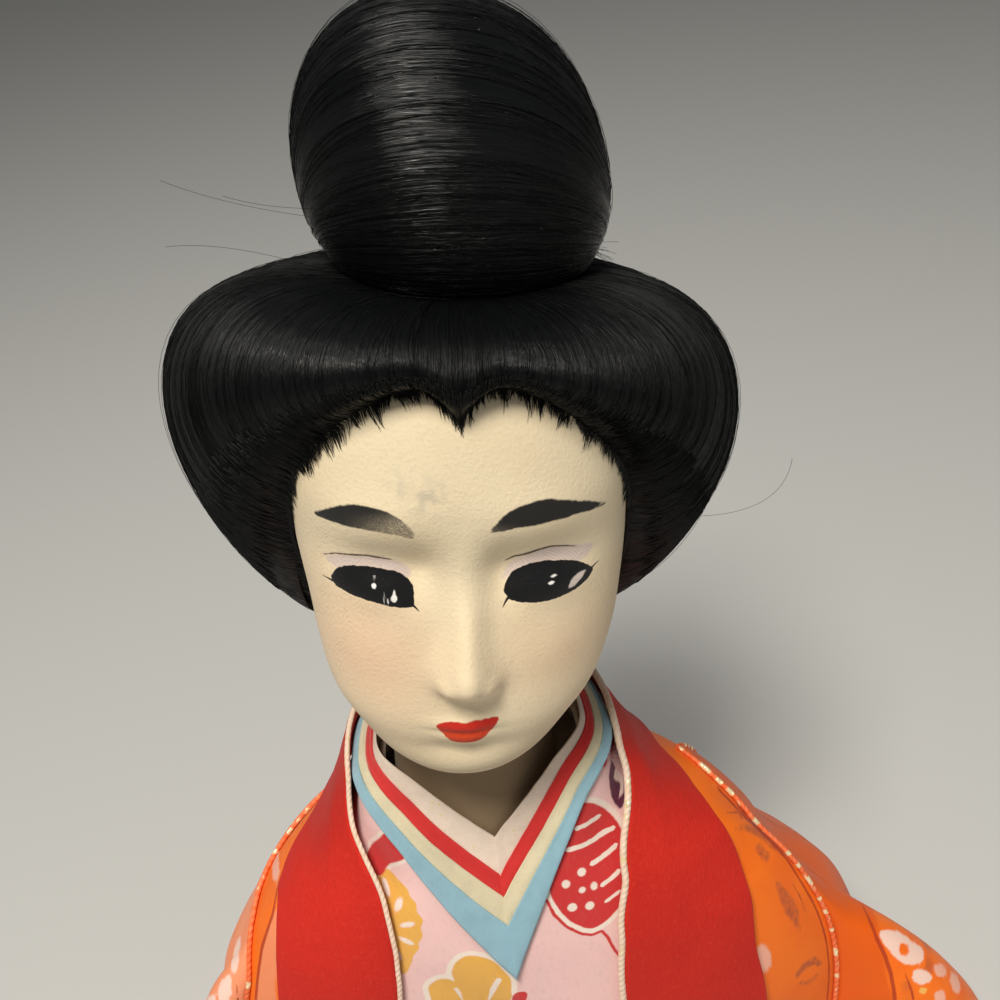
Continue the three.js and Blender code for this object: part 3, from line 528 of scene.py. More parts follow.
def buildHead():
    place, angle = np.meshgrid(17 * crowded(head["rows"], [5.0 / 17, 8.0 / 17], 2.6, 0.13),
                               2 * np.pi * crowded(head["columns"] + 1, [0.0, 1.0], 3.2, 0.16)[:-1], indexing="ij")
    points, x = headPoint(place, angle)
    z = points[..., 2]
    plain = {"blush": 0, "smudge": 0, "browDry": 0, "lipUp": 0, "rough": 0.4, "creasesWide": -3, "lashesWide": -3}
    values = {k: np.where(np.cos(angle) > 0.1, v, plain.get(k, 3.0)) for k, v in paintedFace(x, z).items()}
    # painted shade: a little on the chin below the lips, much more down the neck
    values["neckShade"] = 0.26 * ramp(-24, -32, z) + 0.66 * ramp(-34, -42, z)
    u, v = runLengths(points, 1, True), runLengths(points, 0)
    skin = shell(points, "fans", values, (u - 0.5 * u[:, -1:], np.concatenate([v, v[:, :1]], 1)))
    makePiece("doll_head", [skin], headFinish(), ["head"], onHead=True)


buildHead()


# Floss: the wig's strands run from the hairline out over the roll to the tie below the bun.
# [angle, hairline x y z, first pull x y z, second pull x y z]
floss = {
    "stations": [[0, 0, -18.9, 23.4, 0, -26, 27, 0, -19.5, 37.5],
        [14, 4.4, -18, 26.9, 6, -25.5, 29, 6.5, -19.5, 37.5], [27, 10, -16.5, 24.2, 15, -25.5, 26, 15.5, -19, 38],
        [45, 17, -12.2, 15, 28, -21.5, 16, 32, -15, 40], [62, 21, -8.6, 5, 35.5, -16, 5, 43.5, -7, 41],
        [78, 22.8, -5, -8, 38.2, -9, -5, 52, 1.5, 38.5], [94, 22.4, 1.5, -21.5, 37.2, 0, -11, 56.4, 10, 35.5],
        [115, 19.5, 9, -24.5, 34.5, 14, -18, 48.5, 22, 32.5], [145, 11.5, 14.6, -27, 22, 31, -28, 28, 35, 30],
        [180, 0, 16.5, -28.5, 0, 39, -33, 0, 37, 28]],
    "tie": (9.5, 9.5, 8.0, 30.6),     # the ring's half width, half depth, middle y and height
    "lean": 0.05,                     # the roll sits higher on the doll's right
    "bun": {"place": (0.7, 13, 41), "wide": 20.4, "deep": 20, "up": 23.4, "down": 16.5, "lean": -0.13, "power": 2.2,
            "low": -9.5},
    "columns": 420, "rows": 68, "groove": 0.05, "strands": 560, "locks": 84, "perLock": 8, "stubs": 620,
    "thick": 0.035, "black": (0.0022, 0.0026, 0.0028), "brown": (0.02, 0.016, 0.008),
}


def strandPoint(angle, t):
    # a cubic Bezier from the hairline through two pulls to the tie, at an angle round the head
    place = np.degrees(np.abs(np.where(np.abs(angle) > np.pi, np.abs(angle) - 2 * np.pi, angle)))
    side = np.where(np.sin(angle) < 0, -1.0, 1.0)
    hx, hy, hz, ax, ay, az, bx, by, bz = [through(floss["stations"], place, i + 1) for i in range(9)]
    wide, deep, middle, height = floss["tie"]
    kx, ky = wide * np.sin(np.radians(place)), middle - deep * np.cos(np.radians(place))
    mix = lambda h, a, b, k: h * (1 - t) ** 3 + 3 * a * t * (1 - t) ** 2 + 3 * b * t * t * (1 - t) + k * t ** 3
    leaning = lambda x, z: z - floss["lean"] * side * x
    return np.stack([side * mix(hx, ax, bx, kx), mix(hy, ay, by, ky),
                     mix(hz, leaning(ax, az), leaning(bx, bz), height)], -1)


def bunPoint(along, turn):
    # strands are the cuts of the bun by planes through a low chord between its two tied ends: from the
    # chord's middle a point lies along (cos along, sin along (cos turn, sin turn)), as far out as
    # |x / wide|^p + |y / deep|^p + |z / high|^p = 1, found by halving
    b = floss["bun"]
    dx, dy, dz = np.cos(along), np.sin(along) * np.cos(turn), np.sin(along) * np.sin(turn)
    least, most = np.zeros(np.shape(dx)), np.full(np.shape(dx), 60.0)
    for _ in range(24):
        r = (least + most) / 2
        z = b["low"] + r * dz
        size = (np.abs(r * dx / b["wide"]) ** b["power"] + np.abs(r * dy / b["deep"]) ** b["power"]
                + np.abs(z / np.where(z > 0, b["up"], b["down"])) ** b["power"])
        least, most = np.where(size < 1, r, least), np.where(size < 1, most, r)
    return np.stack([r * dx + b["lean"] * z, r * dy, z], -1) + b["place"]


def outOf(make, a, b, step=0.004):
    # the outward direction of a surface of two parameters, by the cross product of its differences
    return unit(np.cross(make(a + step, b) - make(a - step, b), make(a, b + step) - make(a, b - step)))


def grooves(angle, seed, counts=(140, 330, 640)):
    # locks of strands: the mean of sharp ridges |sin| of several counts round the head, drifting apart
    turn = np.random.default_rng(seed)
    return sum((1 - np.abs(np.sin(n * angle / 2 + turn.uniform(0, 6) + 1.5 * np.sin(7 * angle + n)))) ** 1.5
               for n in counts) / len(counts)


def flossFinish(name, dull, sharp):
    # strands along v: ridges a seventh of a millimetre apart scatter the light across the strands only
    f = Finish(name, floss["black"], 0.24, Specular_IOR_Level=0.19, Anisotropic=0.85)
    lying = f.bent(f.cloth, f.noise(1, 1, on=f.scaled(f.cloth, (2.2, 1.4, 1)), out="Color"), (0.1, 0, 0))
    fine = f.noise(1, 2, 0.65, f.scaled(lying, (62, 0.9, 1)))
    dash, locks = (f.noise(1, 1, on=f.scaled(lying, size)) for size in ((85, 6, 1), (13, 0.5, 1)))
    f.paint(fine.spread(0.45, 0.8), (0.006, 0.0065, 0.0065))
    # the floss is painted brown towards the outer edge of the doll's right wing
    f.paint(f.value("thin"), floss["brown"])
    f.paint(f.specks(130, 0.05, 0.01, (0.03, 0.02)), (0.5, 0.5, 0.48))
    return f.done(fine + dash * 0.22 + locks * 2.2, 0.00016, 1.0, Roughness=dash.spread(0.35, 0.65, dull, sharp),
                  Tangent=f.node("Tangent", {}, direction_type="UV_MAP", uv_map="cloth"))


wigFinish, bunFinish = flossFinish("flossWig", 0.6, 0.34), flossFinish("flossBun", 0.34, 0.14)


def ontoHead(points, lift):
    # each point is put on the plane that touches the head at the nearest of a dense table's points, and
    # lifted off it
    table = headPoint(*np.meshgrid(np.linspace(0.2, 9, 120), np.linspace(-2.0, 2.0, 150), indexing="ij"))[0]
    out = unit(np.cross(np.gradient(table, axis=1), np.gradient(table, axis=0))).reshape(-1, 3)
    flat, p = table.reshape(-1, 3), points.reshape(-1, 3)
    out = np.where((out * (flat - [0, 4, 0])).sum(-1, keepdims=True) < 0, -out, out)
    found = np.concatenate([((q[:, None] - flat[None]) ** 2).sum(-1).argmin(1)
                            for q in np.array_split(p, max(1, len(p) // 60))])
    off = ((p - flat[found]) * out[found]).sum(-1)
    return (p + out[found] * (np.ravel(lift) - off)[:, None]).reshape(points.shape)


def buildWig():
    columns, lining = floss["columns"], 14
    t, angle = np.meshgrid(np.linspace(0, 1, floss["rows"]) ** 1.15, 2 * np.pi * np.arange(columns) / columns,
                           indexing="ij")
    lift = grooves(angle + 0.04 * np.sin(3 * t * np.pi + 5 * angle), 3) - 0.5
    lift = floss["groove"] * lift * np.sqrt(ramp(0, 0.2, t))
    outer = strandPoint(angle, t) + outOf(strandPoint, angle, t) * lift[..., None]
    # the lining: from the tie down over the crown and round the head to the hairline, under the strands
    k = np.linspace(1, 0, lining)[1:, None, None]
    rim, ring, middle = outer[0][None], outer[-1][None], np.array([0, 4, 0.0])
    bow = unit(rim - middle) * (1 - k) + unit(ring - middle) * k
    reach = np.linalg.norm(rim - middle, axis=-1, keepdims=True) * (1 - k) + 28.3 * k
    points = np.concatenate([outer, (middle + unit(bow) * (reach - 0.5 * np.sin(np.pi * k)))[:-1]])
    # browner towards the outer edge of the doll's right wing
    thin = ramp(-38, -44, points[..., 0]) * ramp(32, 20, points[..., 2]) * ramp(-16, -4, points[..., 2])
    v = np.concatenate([runLengths(outer, 0).mean(1), 90 + np.arange(lining - 1) * 3])
    uv = np.meshgrid(2 * np.pi * np.arange(columns + 1) / columns * 34, v)
    skin = shell(points, "joined", {"thin": thin}, uv)
    makePiece("hair_wig", [skin, fringe()], wigFinish, ["hair"], onHead=True)


def fringe():
    # the strands' cut ends over the forehead: they come off the front of the roll, drop to the cloth and
    # run down it in small locks that close to a point, with stubs between
    locks, per, stubs = floss["locks"], floss["perLock"], floss["stubs"]
    count = locks * per + stubs
    middle = np.repeat(1.75 * np.linspace(-1, 1, locks) + draw.normal(0, 0.012, locks), per)
    off = np.tile(np.linspace(-1, 1, per), locks) * np.repeat(draw.uniform(0.018, 0.036, locks), per)
    long = np.repeat(draw.uniform(2.4, 4.2, locks), per) * (1 - 0.5 * np.abs(off) / 0.036)
    long = long * draw.uniform(0.8, 1.1, locks * per)
    angle = np.concatenate([middle + off, draw.uniform(-1.75, 1.75, stubs)])
    long = np.concatenate([long, draw.uniform(0.6, 2.2, stubs)]) * (1 - 0.45 * ramp(1.0, 1.6, np.abs(angle)))
    closing = np.concatenate([-18 * off, np.zeros(stubs)])[:, None, None]
    edge = strandPoint(angle, np.zeros(count))
    lean = np.repeat(draw.normal(0, 0.14, locks), per)
    slant = np.where(edge[:, 0] < 0, 0.30, -0.06) + np.concatenate([lean, draw.normal(0, 0.14, stubs)])
    slant = slant + draw.normal(0, 0.05, count)
    way = unit(np.stack([slant, 0 * slant, -np.ones(count)], -1))
    s = np.linspace(0.2, 1, 6)[None, :, None]
    bend = (draw.normal(0, 0.2, (count, 1, 1)) + closing) * [1, 0, 0] * s ** 2
    laid = ontoHead(edge[:, None] + way[:, None] * s * long[:, None, None] + bend,
                    np.broadcast_to(1.0 - 0.88 * s[..., 0] ** 0.7, (count, 6)))
    start = draw.uniform(0.10, 0.17, (count, 1)) * [[1.8, 1.35, 0.95]]
    angle = angle[:, None] + 0 * start
    roll = strandPoint(angle, start) + 0.16 * outOf(strandPoint, angle, start)
    paths = np.concatenate([roll, laid], 1)
    width = draw.uniform(0.07, 0.14, (count, 1)) * np.maximum(1 - np.linspace(0, 1, 9)[None] ** 3, 0.1)
    return cords(paths, width, unit(paths - [0, 4, 0]), values={"thin": np.zeros((count, 9))})


def combed(make, first, second, lift, name, finish, strays):
    # single strands a little clear of the mass: first and second are each strand's parameters (n, m)
    points, out = make(first, second), outOf(make, first, second)
    inward = (out * (points - points.mean((0, 1)))).sum(-1, keepdims=True) < 0
    out = np.where(inward, -out, out)
    parts = [cords(points + out * lift[..., None], np.full(lift.shape, floss["thick"]), out),
             cords(strays, np.full(strays.shape[:2], floss["thick"] * 0.8), (0, 0.3, 1))]
    makePiece(name, parts, finish, onHead=True)


def buildWigStrands():
    # strands drift a little sideways as they run, so that they cross; a few stand off the roll
    n, run = floss["strands"], np.linspace(0, 1, 20)[None]
    t = np.clip(run * draw.uniform(0.35, 0.9, (n, 1)) + draw.uniform(0.0, 0.3, (n, 1)), 0.01, 0.985)
    angle = draw.uniform(0, 2 * np.pi, (n, 1)) + draw.normal(0, 0.022, (n, 1)) * run
    angle = angle + draw.normal(0, 0.008, (n, 1)) * np.sin(5 * run)
    lift = 0.03 + 0.08 * draw.uniform(size=(n, 1)) + 0.6 * draw.uniform(size=(n, 1)) ** 8 * np.sin(np.pi * run)
    # loose hairs: [start x y z, pull x y z, end x y z]
    loose = np.array([[[-12, 6, 38], [-26, 0, 42], [-34, -3, 47]], [[-16, 0, 34], [-27, -4, 40], [-34, -6, 40]],
                      [[27, -10, 2], [40, -22, 8], [41, -19, 16]], [[-12, 6, 40], [-21, -1, 42], [-27, -3, 45]]])
    k = run[..., None]
    strays = loose[:, :1] * (1 - k) ** 2 + 2 * loose[:, 1:2] * k * (1 - k) + loose[:, 2:] * k * k
    combed(strandPoint, angle, t, lift, "hair_strands", wigFinish, strays)


def buildBun():
    along, turn = np.meshgrid(np.pi * (0.006 + 0.988 * np.linspace(0, 1, 130)), 2 * np.pi * np.arange(270) / 270,
                              indexing="ij")
    points = bunPoint(along, turn)
    lift = grooves(turn + 0.03 * np.sin(2 * along + 4 * turn), 5, (90, 150, 210)) - 0.5
    points = points + unit(points - floss["bun"]["place"]) * (0.07 * lift * np.sin(along) ** 0.5)[..., None]
    uv = np.meshgrid(runLengths(points[65][None], 1, True)[0], runLengths(points, 0).mean(1))
    makePiece("bun", [shell(points, "fans", uv=uv)], bunFinish, ["topknot"], onHead=True)


def buildBunStrands():
    n, run = 400, np.linspace(-0.5, 0.5, 21)[None]
    along = np.pi * np.clip(run * draw.uniform(0.4, 0.9, (n, 1)) + draw.uniform(0.38, 0.62, (n, 1)), 0.03, 0.97)
    turn = draw.uniform(0, 2 * np.pi, (n, 1)) + draw.normal(0, 0.05, (n, 1)) * run
    turn = turn + draw.normal(0, 0.012, (n, 1)) * np.sin(6 * run)
    lift = 0.03 + 0.08 * draw.uniform(size=(n, 1)) + 1.1 * draw.uniform(size=(n, 1)) ** 9 * np.cos(np.pi * run)
    # the tuft at the doll's left, where the bun is tied, and a few loops off its sides
    ends = (draw.normal(0, 1, (26, 3)) * [1.1, 1.2, 1.0])[:, None]
    k = (run + 0.5)[..., None]
    strays = ([17.0, 10.0, 32.0] + 0.25 * ends + ([3.4, -0.6, -1.0] + ends * 0.9) * k
              + np.array([0.4, -0.4, 0.9]) * k * (1 - k))
    combed(bunPoint, along, turn, lift, "bun_strands", bunFinish, strays)


buildWig()
buildWigStrands()
buildBun()
buildBunStrands()
print("hair made")


# Clothes: level sections of the body under them, [height, half width at the doll's right, at its left,
# depth to the front, depth to the back]
bodyStations = [[0, 54, 62, 19, 25], [20, 51.5, 58.8, 18.5, 25], [34, 49, 56.8, 18, 25], [45, 46, 52.8, 17, 24.5],
    [58, 39.4, 45.2, 15.2, 23.5], [64, 34.8, 39.8, 14, 22.5], [70, 29.4, 34.2, 12.6, 21.5],
    [74, 25.6, 28.4, 11.5, 20.5], [78, 22.8, 24, 10.5, 19.6], [82, 20.5, 20.9, 9.6, 18.8], [88, 17.8, 17.8, 8.2, 18],
    [97, 15.8, 15.8, 6.8, 17.5]]


def bodyPoint(angle, z, out=0.0):
    # the superellipse at height z grown by out: x = half width * cos^(2/p), y = depth * sin^(2/p)
    right, left, front, back = [through(bodyStations, z, i + 1) for i in range(4)]
    e = 2 / doll["sectionPower"]
    c, s = np.cos(angle), np.sin(angle)
    x = (np.where(c > 0, left, right) + out) * np.sign(c) * np.abs(c) ** e
    y = (np.where(s < 0, front, back) + out) * np.sign(s) * np.abs(s) ** e
    return np.stack([x, y, z + 0 * x], -1)


def frontAngle(x, z, out):
    # the angle in front at which that section is x wide
    half = np.where(x > 0, through(bodyStations, z, 2), through(bodyStations, z, 1)) + out
    turn = np.arccos(np.clip((np.abs(x) / half) ** (doll["sectionPower"] / 2), 0, 1))
    return np.where(x > 0, -turn, turn - np.pi)


def dropped(angle, z):
    # behind the armhole the left shoulder falls away
    turn = np.degrees(np.arctan2(np.sin(angle), np.cos(angle)))
    return 3.8 * bell(z - 54, 10) * ramp(-13, 3, turn) * ramp(80, 50, turn)


# each collar edge rises from a V in front to the side of the neck: [V's height, height and half width
# beside the neck, bow of the doll's right arm of the V, bow of its left]
collars = {
    "white": (80.2, 95.2, 14.4, 0.92, 0.97), "red": (73.4, 94.4, 16.4, 0.84, 1.15),
    "cream": (70.4, 93.4, 17.7, 0.78, 1.1), "blue": (65.9, 92.4, 18.9, 0.8, 1.13),
    "kimono": (55.6, 91.0, 19.9, 0.9, 1.3),
    "napeRise": 1.5, "frontShare": 0.64, "tuck": 0.35, "columns": 360,
    "settle": 0.82,                   # the folded edge lies down on the strip before it
    "lap": 0.3,                       # the doll's left arm of each V lies over its right
    "strips": [
        ("collar_white", "white", "red", "cream", (0.93, 0.76, 0.63), "white_cloth", "white_collar"),
        ("collar_red_stripe", "red", "cream", "blue", (0.70, 0.032, 0.030), "red_cloth", "red_stripe_collar"),
        ("collar_cream_stripe", "cream", "blue", "kimono", (0.80, 0.70, 0.48), "cream_cloth", "cream_stripe_collar"),
        ("collar_blue_stripe", "blue", "kimono", None, (0.33, 0.55, 0.66), "blue_cloth", "blue_stripe_collar"),
    ],
}


def edgePlace(edge, u, out):
    # angle and height on an edge, u from 0 at the V round the doll's left side to 1 at the V: along an arm
    # of the V x = reach t and z = side - (side - foot) (1 - t)^bow, behind the neck the angle runs evenly,
    # and a cubic with both ends' slopes joins the two beside the neck
    foot, side, reach, rightBow, leftBow = collars[edge]
    share, left = collars["frontShare"], u < 0.5
    turn = 2 * np.where(left, u, 1 - u)
    nape = np.where(left, np.pi / 2, -1.5 * np.pi)
    beside = frontAngle(np.where(left, reach, -reach), np.full(np.shape(u), side), out)

    def arm(t):
        along = np.minimum(t / share, 0.999)
        z = side - (side - foot) * (1 - along) ** np.where(left, leftBow, rightBow)
        x = np.maximum(reach * along, 1e-6)
        return np.array([frontAngle(np.where(left, x, -x), z, out), z])

    def behind(t):
        k = (t - share) / (1 - share)
        return np.array([beside + (nape - beside) * k, side + collars["napeRise"] * ramp(0, 1, k) + 0 * nape])

    first, last, step = share - 0.17, share + 0.13, 0.004
    a, b, scale = arm(first), behind(last), (last - first) / step
    joined = cubic(a, b, (a - arm(first - step)) * scale, (behind(last + step) - b) * scale,
                   np.clip((turn - first) / (last - first), 0, 1))
    return np.where(turn < first, arm(turn), np.where(turn > last, behind(turn), joined))


def bandPoint(upper, lower, u, share, out):
    # a share of the way from one edge to the next
    (a, za), (b, zb) = edgePlace(upper, u, out), edgePlace(lower, u, out)
    return bodyPoint(a + (b - a) * share, za + (zb - za) * share, out)


def stripInside(layer):
    return doll["gap"] + layer * (doll["clothThick"] + doll["stripGap"])


kimonoOut = stripInside(3) - doll["stripGap"]
robeInside = kimonoOut + doll["robeEase"]
robeOutside = robeInside + doll["robeThick"]
wideOut = robeOutside + doll["gap"]


def foldProfile(fold, first, last, steps, arc=7, hem=None):
    # a folded strip's closed section as columns of [share across, share of the thickness]: round at the
    # fold, down the outside, round at the hem where there is one, and back inside
    a, flat = np.linspace(-0.5 * np.pi, 0.5 * np.pi, arc), np.linspace(first, last, steps)
    parts = [np.stack([fold - fold * np.cos(a), 0.5 + 0.5 * np.sin(a)], -1), np.stack([flat, 0 * flat + 1], -1)]
    if hem:
        parts.append(np.stack([1 - hem + hem * np.cos(a), 0.5 - 0.5 * np.sin(a)], -1))
    return np.concatenate(parts + [np.stack([flat[::-1], 0 * flat], -1)])


def stripPoints(layer, upper, lower, beyond):
    u = crowded(collars["columns"] + 1, [0.0, 1.0], 5.0, 0.07)[:-1]
    profile = foldProfile(0.045, 0.1, 1 + (collars["tuck"] if beyond else 0), 10)
    u, across = np.meshgrid(u, profile[:, 0])
    rest = collars["settle"] * (1 - ramp(0, 0.9, across)) * (1 if layer else 0.3)
    lap = collars["lap"] * (1 - ramp(0.0, 0.035, u)) * (u < 0.5)
    soft = 0.06 * waver(u * 160, across * 9, 9, 20 + layer)
    out = stripInside(layer) + doll["clothThick"] * (0.45 + 0.55 * profile[:, 1:]) - rest + lap + soft
    strip = bandPoint(upper, lower, u, np.minimum(across, 1), out)
    if beyond:
        tucked = bandPoint(lower, beyond, u, np.maximum(across - 1, 0), out)
        strip = np.where((across > 1)[..., None], tucked, strip)
    return strip


def stripFinish(name, colour, flecks):
    # plain cloth: threads across the strip's own coordinates, soft mottling, fine crinkle, perhaps flecks
    f = Finish(name, colour, 0.75, Sheen_Weight=0.25, Sheen_Roughness=0.4, Specular_IOR_Level=0.3)
    deep = tuple(c * 0.72 for c in colour)
    f.paint(f.noise(260, 4, 0.6).spread(0.35, 0.75, 0, 0.36), deep)
    f.paint(f.noise(2200).spread(0.45, 0.8, 0, 0.25), deep)
    if flecks:
        f.paint(f.specks(900, 0.22, 0.02, (0.3, 0.2)), (0.86, 0.70, 0.42))
    return f.done(f.weave(0.3) * 0.35 + f.noise(1700, 3, 0.6), 0.00007)


for layer, (name, upper, lower, beyond, colour, slot, nodeName) in enumerate(collars["strips"]):
    skin = shell(stripPoints(layer, upper, lower, beyond), "joined")
    makePiece(name, [skin], stripFinish(name, colour, layer == 0), [nodeName])


# The pink kimono: its print is a fan, a chrysanthemum, a plum and a big blossom, at x and z in front
kimono = {
    "seat": 78.0, "sunk": 1.4, "columns": 310,
    "pink": (0.95, 0.60, 0.58), "red": (0.66, 0.035, 0.035), "gold": (0.88, 0.46, 0.085),
    "white": (0.95, 0.80, 0.70), "plumPurple": (0.13, 0.025, 0.06),
    "fan": [[-16.9, 83.5, -15.5, 83.2, -14.5, 82.1, -14, 80.4, -14.9, 79.1, -16.4, 77.9, -18, 76.3, -19.2, 74.4,
        -21.3, 73.9, -21.6, 76.1, -20.6, 78.4, -19, 80.8]],
    "mum": [[-20, 74, -18.3, 75.6, -16.6, 74.7, -15.3, 73.5, -15, 72.3, -14.2, 71.2, -14.3, 69.6, -13.6, 68.2,
        -14.2, 66.6, -14.1, 65.2, -15, 63.8, -15.2, 62.6, -16.2, 61.4, -17, 59.6, -18.3, 57.6, -19.6, 58.6, -21.5, 61,
        -23, 64, -24, 68, -22.5, 72]],
    "mumPetals": [[-18.9, 72.6, 0.55, 1.35, 8], [-17.2, 70.6, 0.55, 1.4, -30], [-16.3, 67.3, 0.5, 1.35, -72],
        [-17, 64.2, 0.5, 1.4, -120], [-19, 61.6, 0.6, 1.3, -160], [-21, 64, 0.5, 1.2, 60]],
    "plum": [[-14.9, 53, -14.6, 54.9, -12.9, 56, -11.2, 55.9, -10.3, 55.3, -10.5, 57.3, -9.5, 59.4, -7.6, 60.5,
        -5.5, 60.2, -3.4, 58.9, -2, 56.7, -1, 54.4, -1.2, 52, -1.6, 49.7, -4, 47, -9, 46, -14, 49]],
    "plumStreaks": [[-10.3, 53.6, 0.35, -9.9, 52.4, 0.3, -9.6, 50.8, 0.1], [-3, 54.6, 0.5, -4.2, 52.6, 0.55,
        -5.2, 50.4, 0.2]],
    "redBit": [[-1.3, 49.3, -0.8, 50.9, 0.8, 51.2, 1.4, 50.3, 0.4, 48.6]],
    "blossom": [[14.9, 84.2, 13.4, 83.1, 12.1, 81.4, 11.2, 79.6, 10, 77.4, 8.8, 75.2, 7.8, 72.5, 7.7, 70.1, 8.7, 67.2,
        10.1, 64.7, 12.1, 62.9, 13.6, 62.2, 15.3, 62.6, 17, 63.6, 19, 65.5, 20.5, 69, 21.5, 73, 20.4, 77, 18.9, 79.8,
        17.6, 81.8, 16.3, 83.4]],
    "rims": [[6.9, 69.4, 0.28, 7.8, 66.3, 0.28, 9.5, 63.6, 0.28, 11.8, 61.6, 0.28, 13.6, 60.9, 0.28, 15.2, 61.3, 0.28,
        16, 59.8, 0.28, 17, 56.6, 0.28, 18.4, 53.6, 0.28]],
    "bars": [[13.3, 80.6, 0.4, 17.3, 80, 0.4], [11.4, 77.4, 0.42, 19.4, 76.9, 0.42], [15, 73.7, 0.4, 19.4, 74.3, 0.4],
        [16.2, 69.7, 0.38, 19.3, 70.9, 0.38], [16.5, 66.6, 0.3, 19, 67.7, 0.3]],
    "dots": [[13.2, 72.9, 0.75, 0.72], [10.4, 71.5, 0.72, 0.78], [12.9, 69.8, 0.62, 0.6], [10.9, 67, 0.85, 0.8],
        [13.8, 66.6, 0.78, 0.78], [14.9, 70, 0.6, 0.75]],
    "tear": [[20.6, 86.2, 19.9, 85, 19.7, 83, 20, 80.8, 21, 79, 22, 79.6, 22.6, 82, 22.6, 85, 21.8, 86.4]],
    "tearLight": [[21.2, 84.2, 20.6, 83.6, 21.1, 82.6, 21.7, 81.6, 21, 80.4, 22, 80.6, 22.5, 82.6, 22.3, 84.2]],
    "redDots": [[19.5, 87.6, 0.5, 0.5], [20.6, 88.4, 0.35, 0.35]],
}


def printedKimono(x, z):
    fan, mum, plum, blossom, redBit, tear, tearLight = (
        shapes(x, z, kimono[k]) for k in ("fan", "mum", "plum", "blossom", "redBit", "tear", "tearLight"))
    dots, redDots, petals = (spots(x, z, kimono[k]) for k in ("dots", "redDots", "mumPetals"))
    streaks = shapes(x, z, kimono["plumStreaks"], False)
    values = {
        "printRed": anyOf(fan, redBit, np.maximum(blossom, -dots), redDots),
        "printGold": anyOf(np.maximum(mum, -petals), np.maximum(plum, -streaks)),
        "printWhite": anyOf(np.abs(plum - 0.5) - 0.5, np.abs(blossom - 0.45) - 0.45, np.maximum(mum, petals),
                            np.maximum(plum, streaks), np.maximum(blossom, dots), np.abs(fan - 0.3) - 0.3, tearLight),
        "printPurple": np.maximum(tear, -tearLight),
    }
    for name in ("rims", "bars"):
        values[name + "Off"], values[name + "Wide"] = drawnLine(x, z, kimono[name])
    return values


def kimonoFinish():
    f = Finish("pinkPrint", kimono["pink"], 0.78, Sheen_Weight=0.25, Sheen_Roughness=0.4, Specular_IOR_Level=0.3)
    crinkle = f.noise(1, 3, 0.6, f.scaled(f.at, (1500, 1500, 700)))
    f.paint(f.noise(240, 3).spread(0.35, 0.75, 0, 0.35), (0.84, 0.60, 0.56))
    ragged = (f.noise(900) - 0.5) * 0.3
    for name, colour in (("White", "white"), ("Gold", "gold"), ("Red", "red"), ("Purple", "plumPurple")):
        f.paint(f.edge("print" + name, 0.16, ragged), kimono[colour])
    f.paint(f.line("rims", 0.12, ragged), kimono["red"])
    f.paint(f.line("bars", 0.12, ragged), kimono["white"])
    # painted shade: the kimono's inside below the collars is a dull shaded brown, as the hollow round the neck lies
    # in shadow
    f.paint(f.value("inside"), (0.52, 0.42, 0.33))
    f.paint(crinkle.spread(0.5, 0.85, 0, 0.2), (0.42, 0.2, 0.17))
    return f.done(f.weave(0.35) * 0.3 + crinkle, 0.00008)


def buildKimono():
    columns, seat = kimono["columns"], kimono["seat"]
    u = crowded(columns + 1, [0.0, 1.0], 3.5, 0.16)[:-1]
    even = np.ones(columns)

    def lowered(share):
        # the body's front and back, from the cut up to the kimono's edge
        a, z = edgePlace("kimono", u, kimonoOut * even)
        sunk = kimono["sunk"] * ramp(-0.95, -0.75, np.sin(a)) * (1 - ramp(0.9, 1, share)) + dropped(a, z * share)
        soft = 0.12 * waver(a * 40, z * share, 22, 31) * ramp(1, 0.93, share)
        return bodyPoint(a, z * share, kimonoOut - sunk + soft)

    def ledge(out, share):
        return bandPoint("blue", "kimono", u, share * even, out * even)

    def lip(out, height):
        a, z = edgePlace("white", u, 0 * even)
        return bodyPoint(a, seat + (z - 4.5 - seat) * height, out * even)

    rings = [lowered(s) for s in np.concatenate([np.linspace(0, 0.5, 26)[:-1], np.linspace(0.5, 1, 125)])]
    rings += [ledge(kimonoOut, s) for s in np.linspace(1, 0.65, 6)[1:]] + [ledge(o, 0.65) for o in (2.2, 1.0, -0.1)]
    points = np.stack(rings + [lip(*p) for p in ((-0.2, 1), (-0.7, 1), (-1.2, 1), (-1.4, 0.5), (-1.5, 0))])
    values = {k: np.where(points[..., 1] < -3, v, -3.0 if k.endswith("Wide") else 3.0)
              for k, v in printedKimono(points[..., 0], points[..., 2]).items()}
    # the last rings run down into the hollow round the neck and carry the painted shade there
    values["inside"] = np.repeat(np.arange(len(points))[:, None] >= len(points) - 8, columns, 1) * 1.0
    makePiece("kimono_pink", [shell(points, "fans", values)], kimonoFinish(), ["pink_kimono"])


buildKimono()


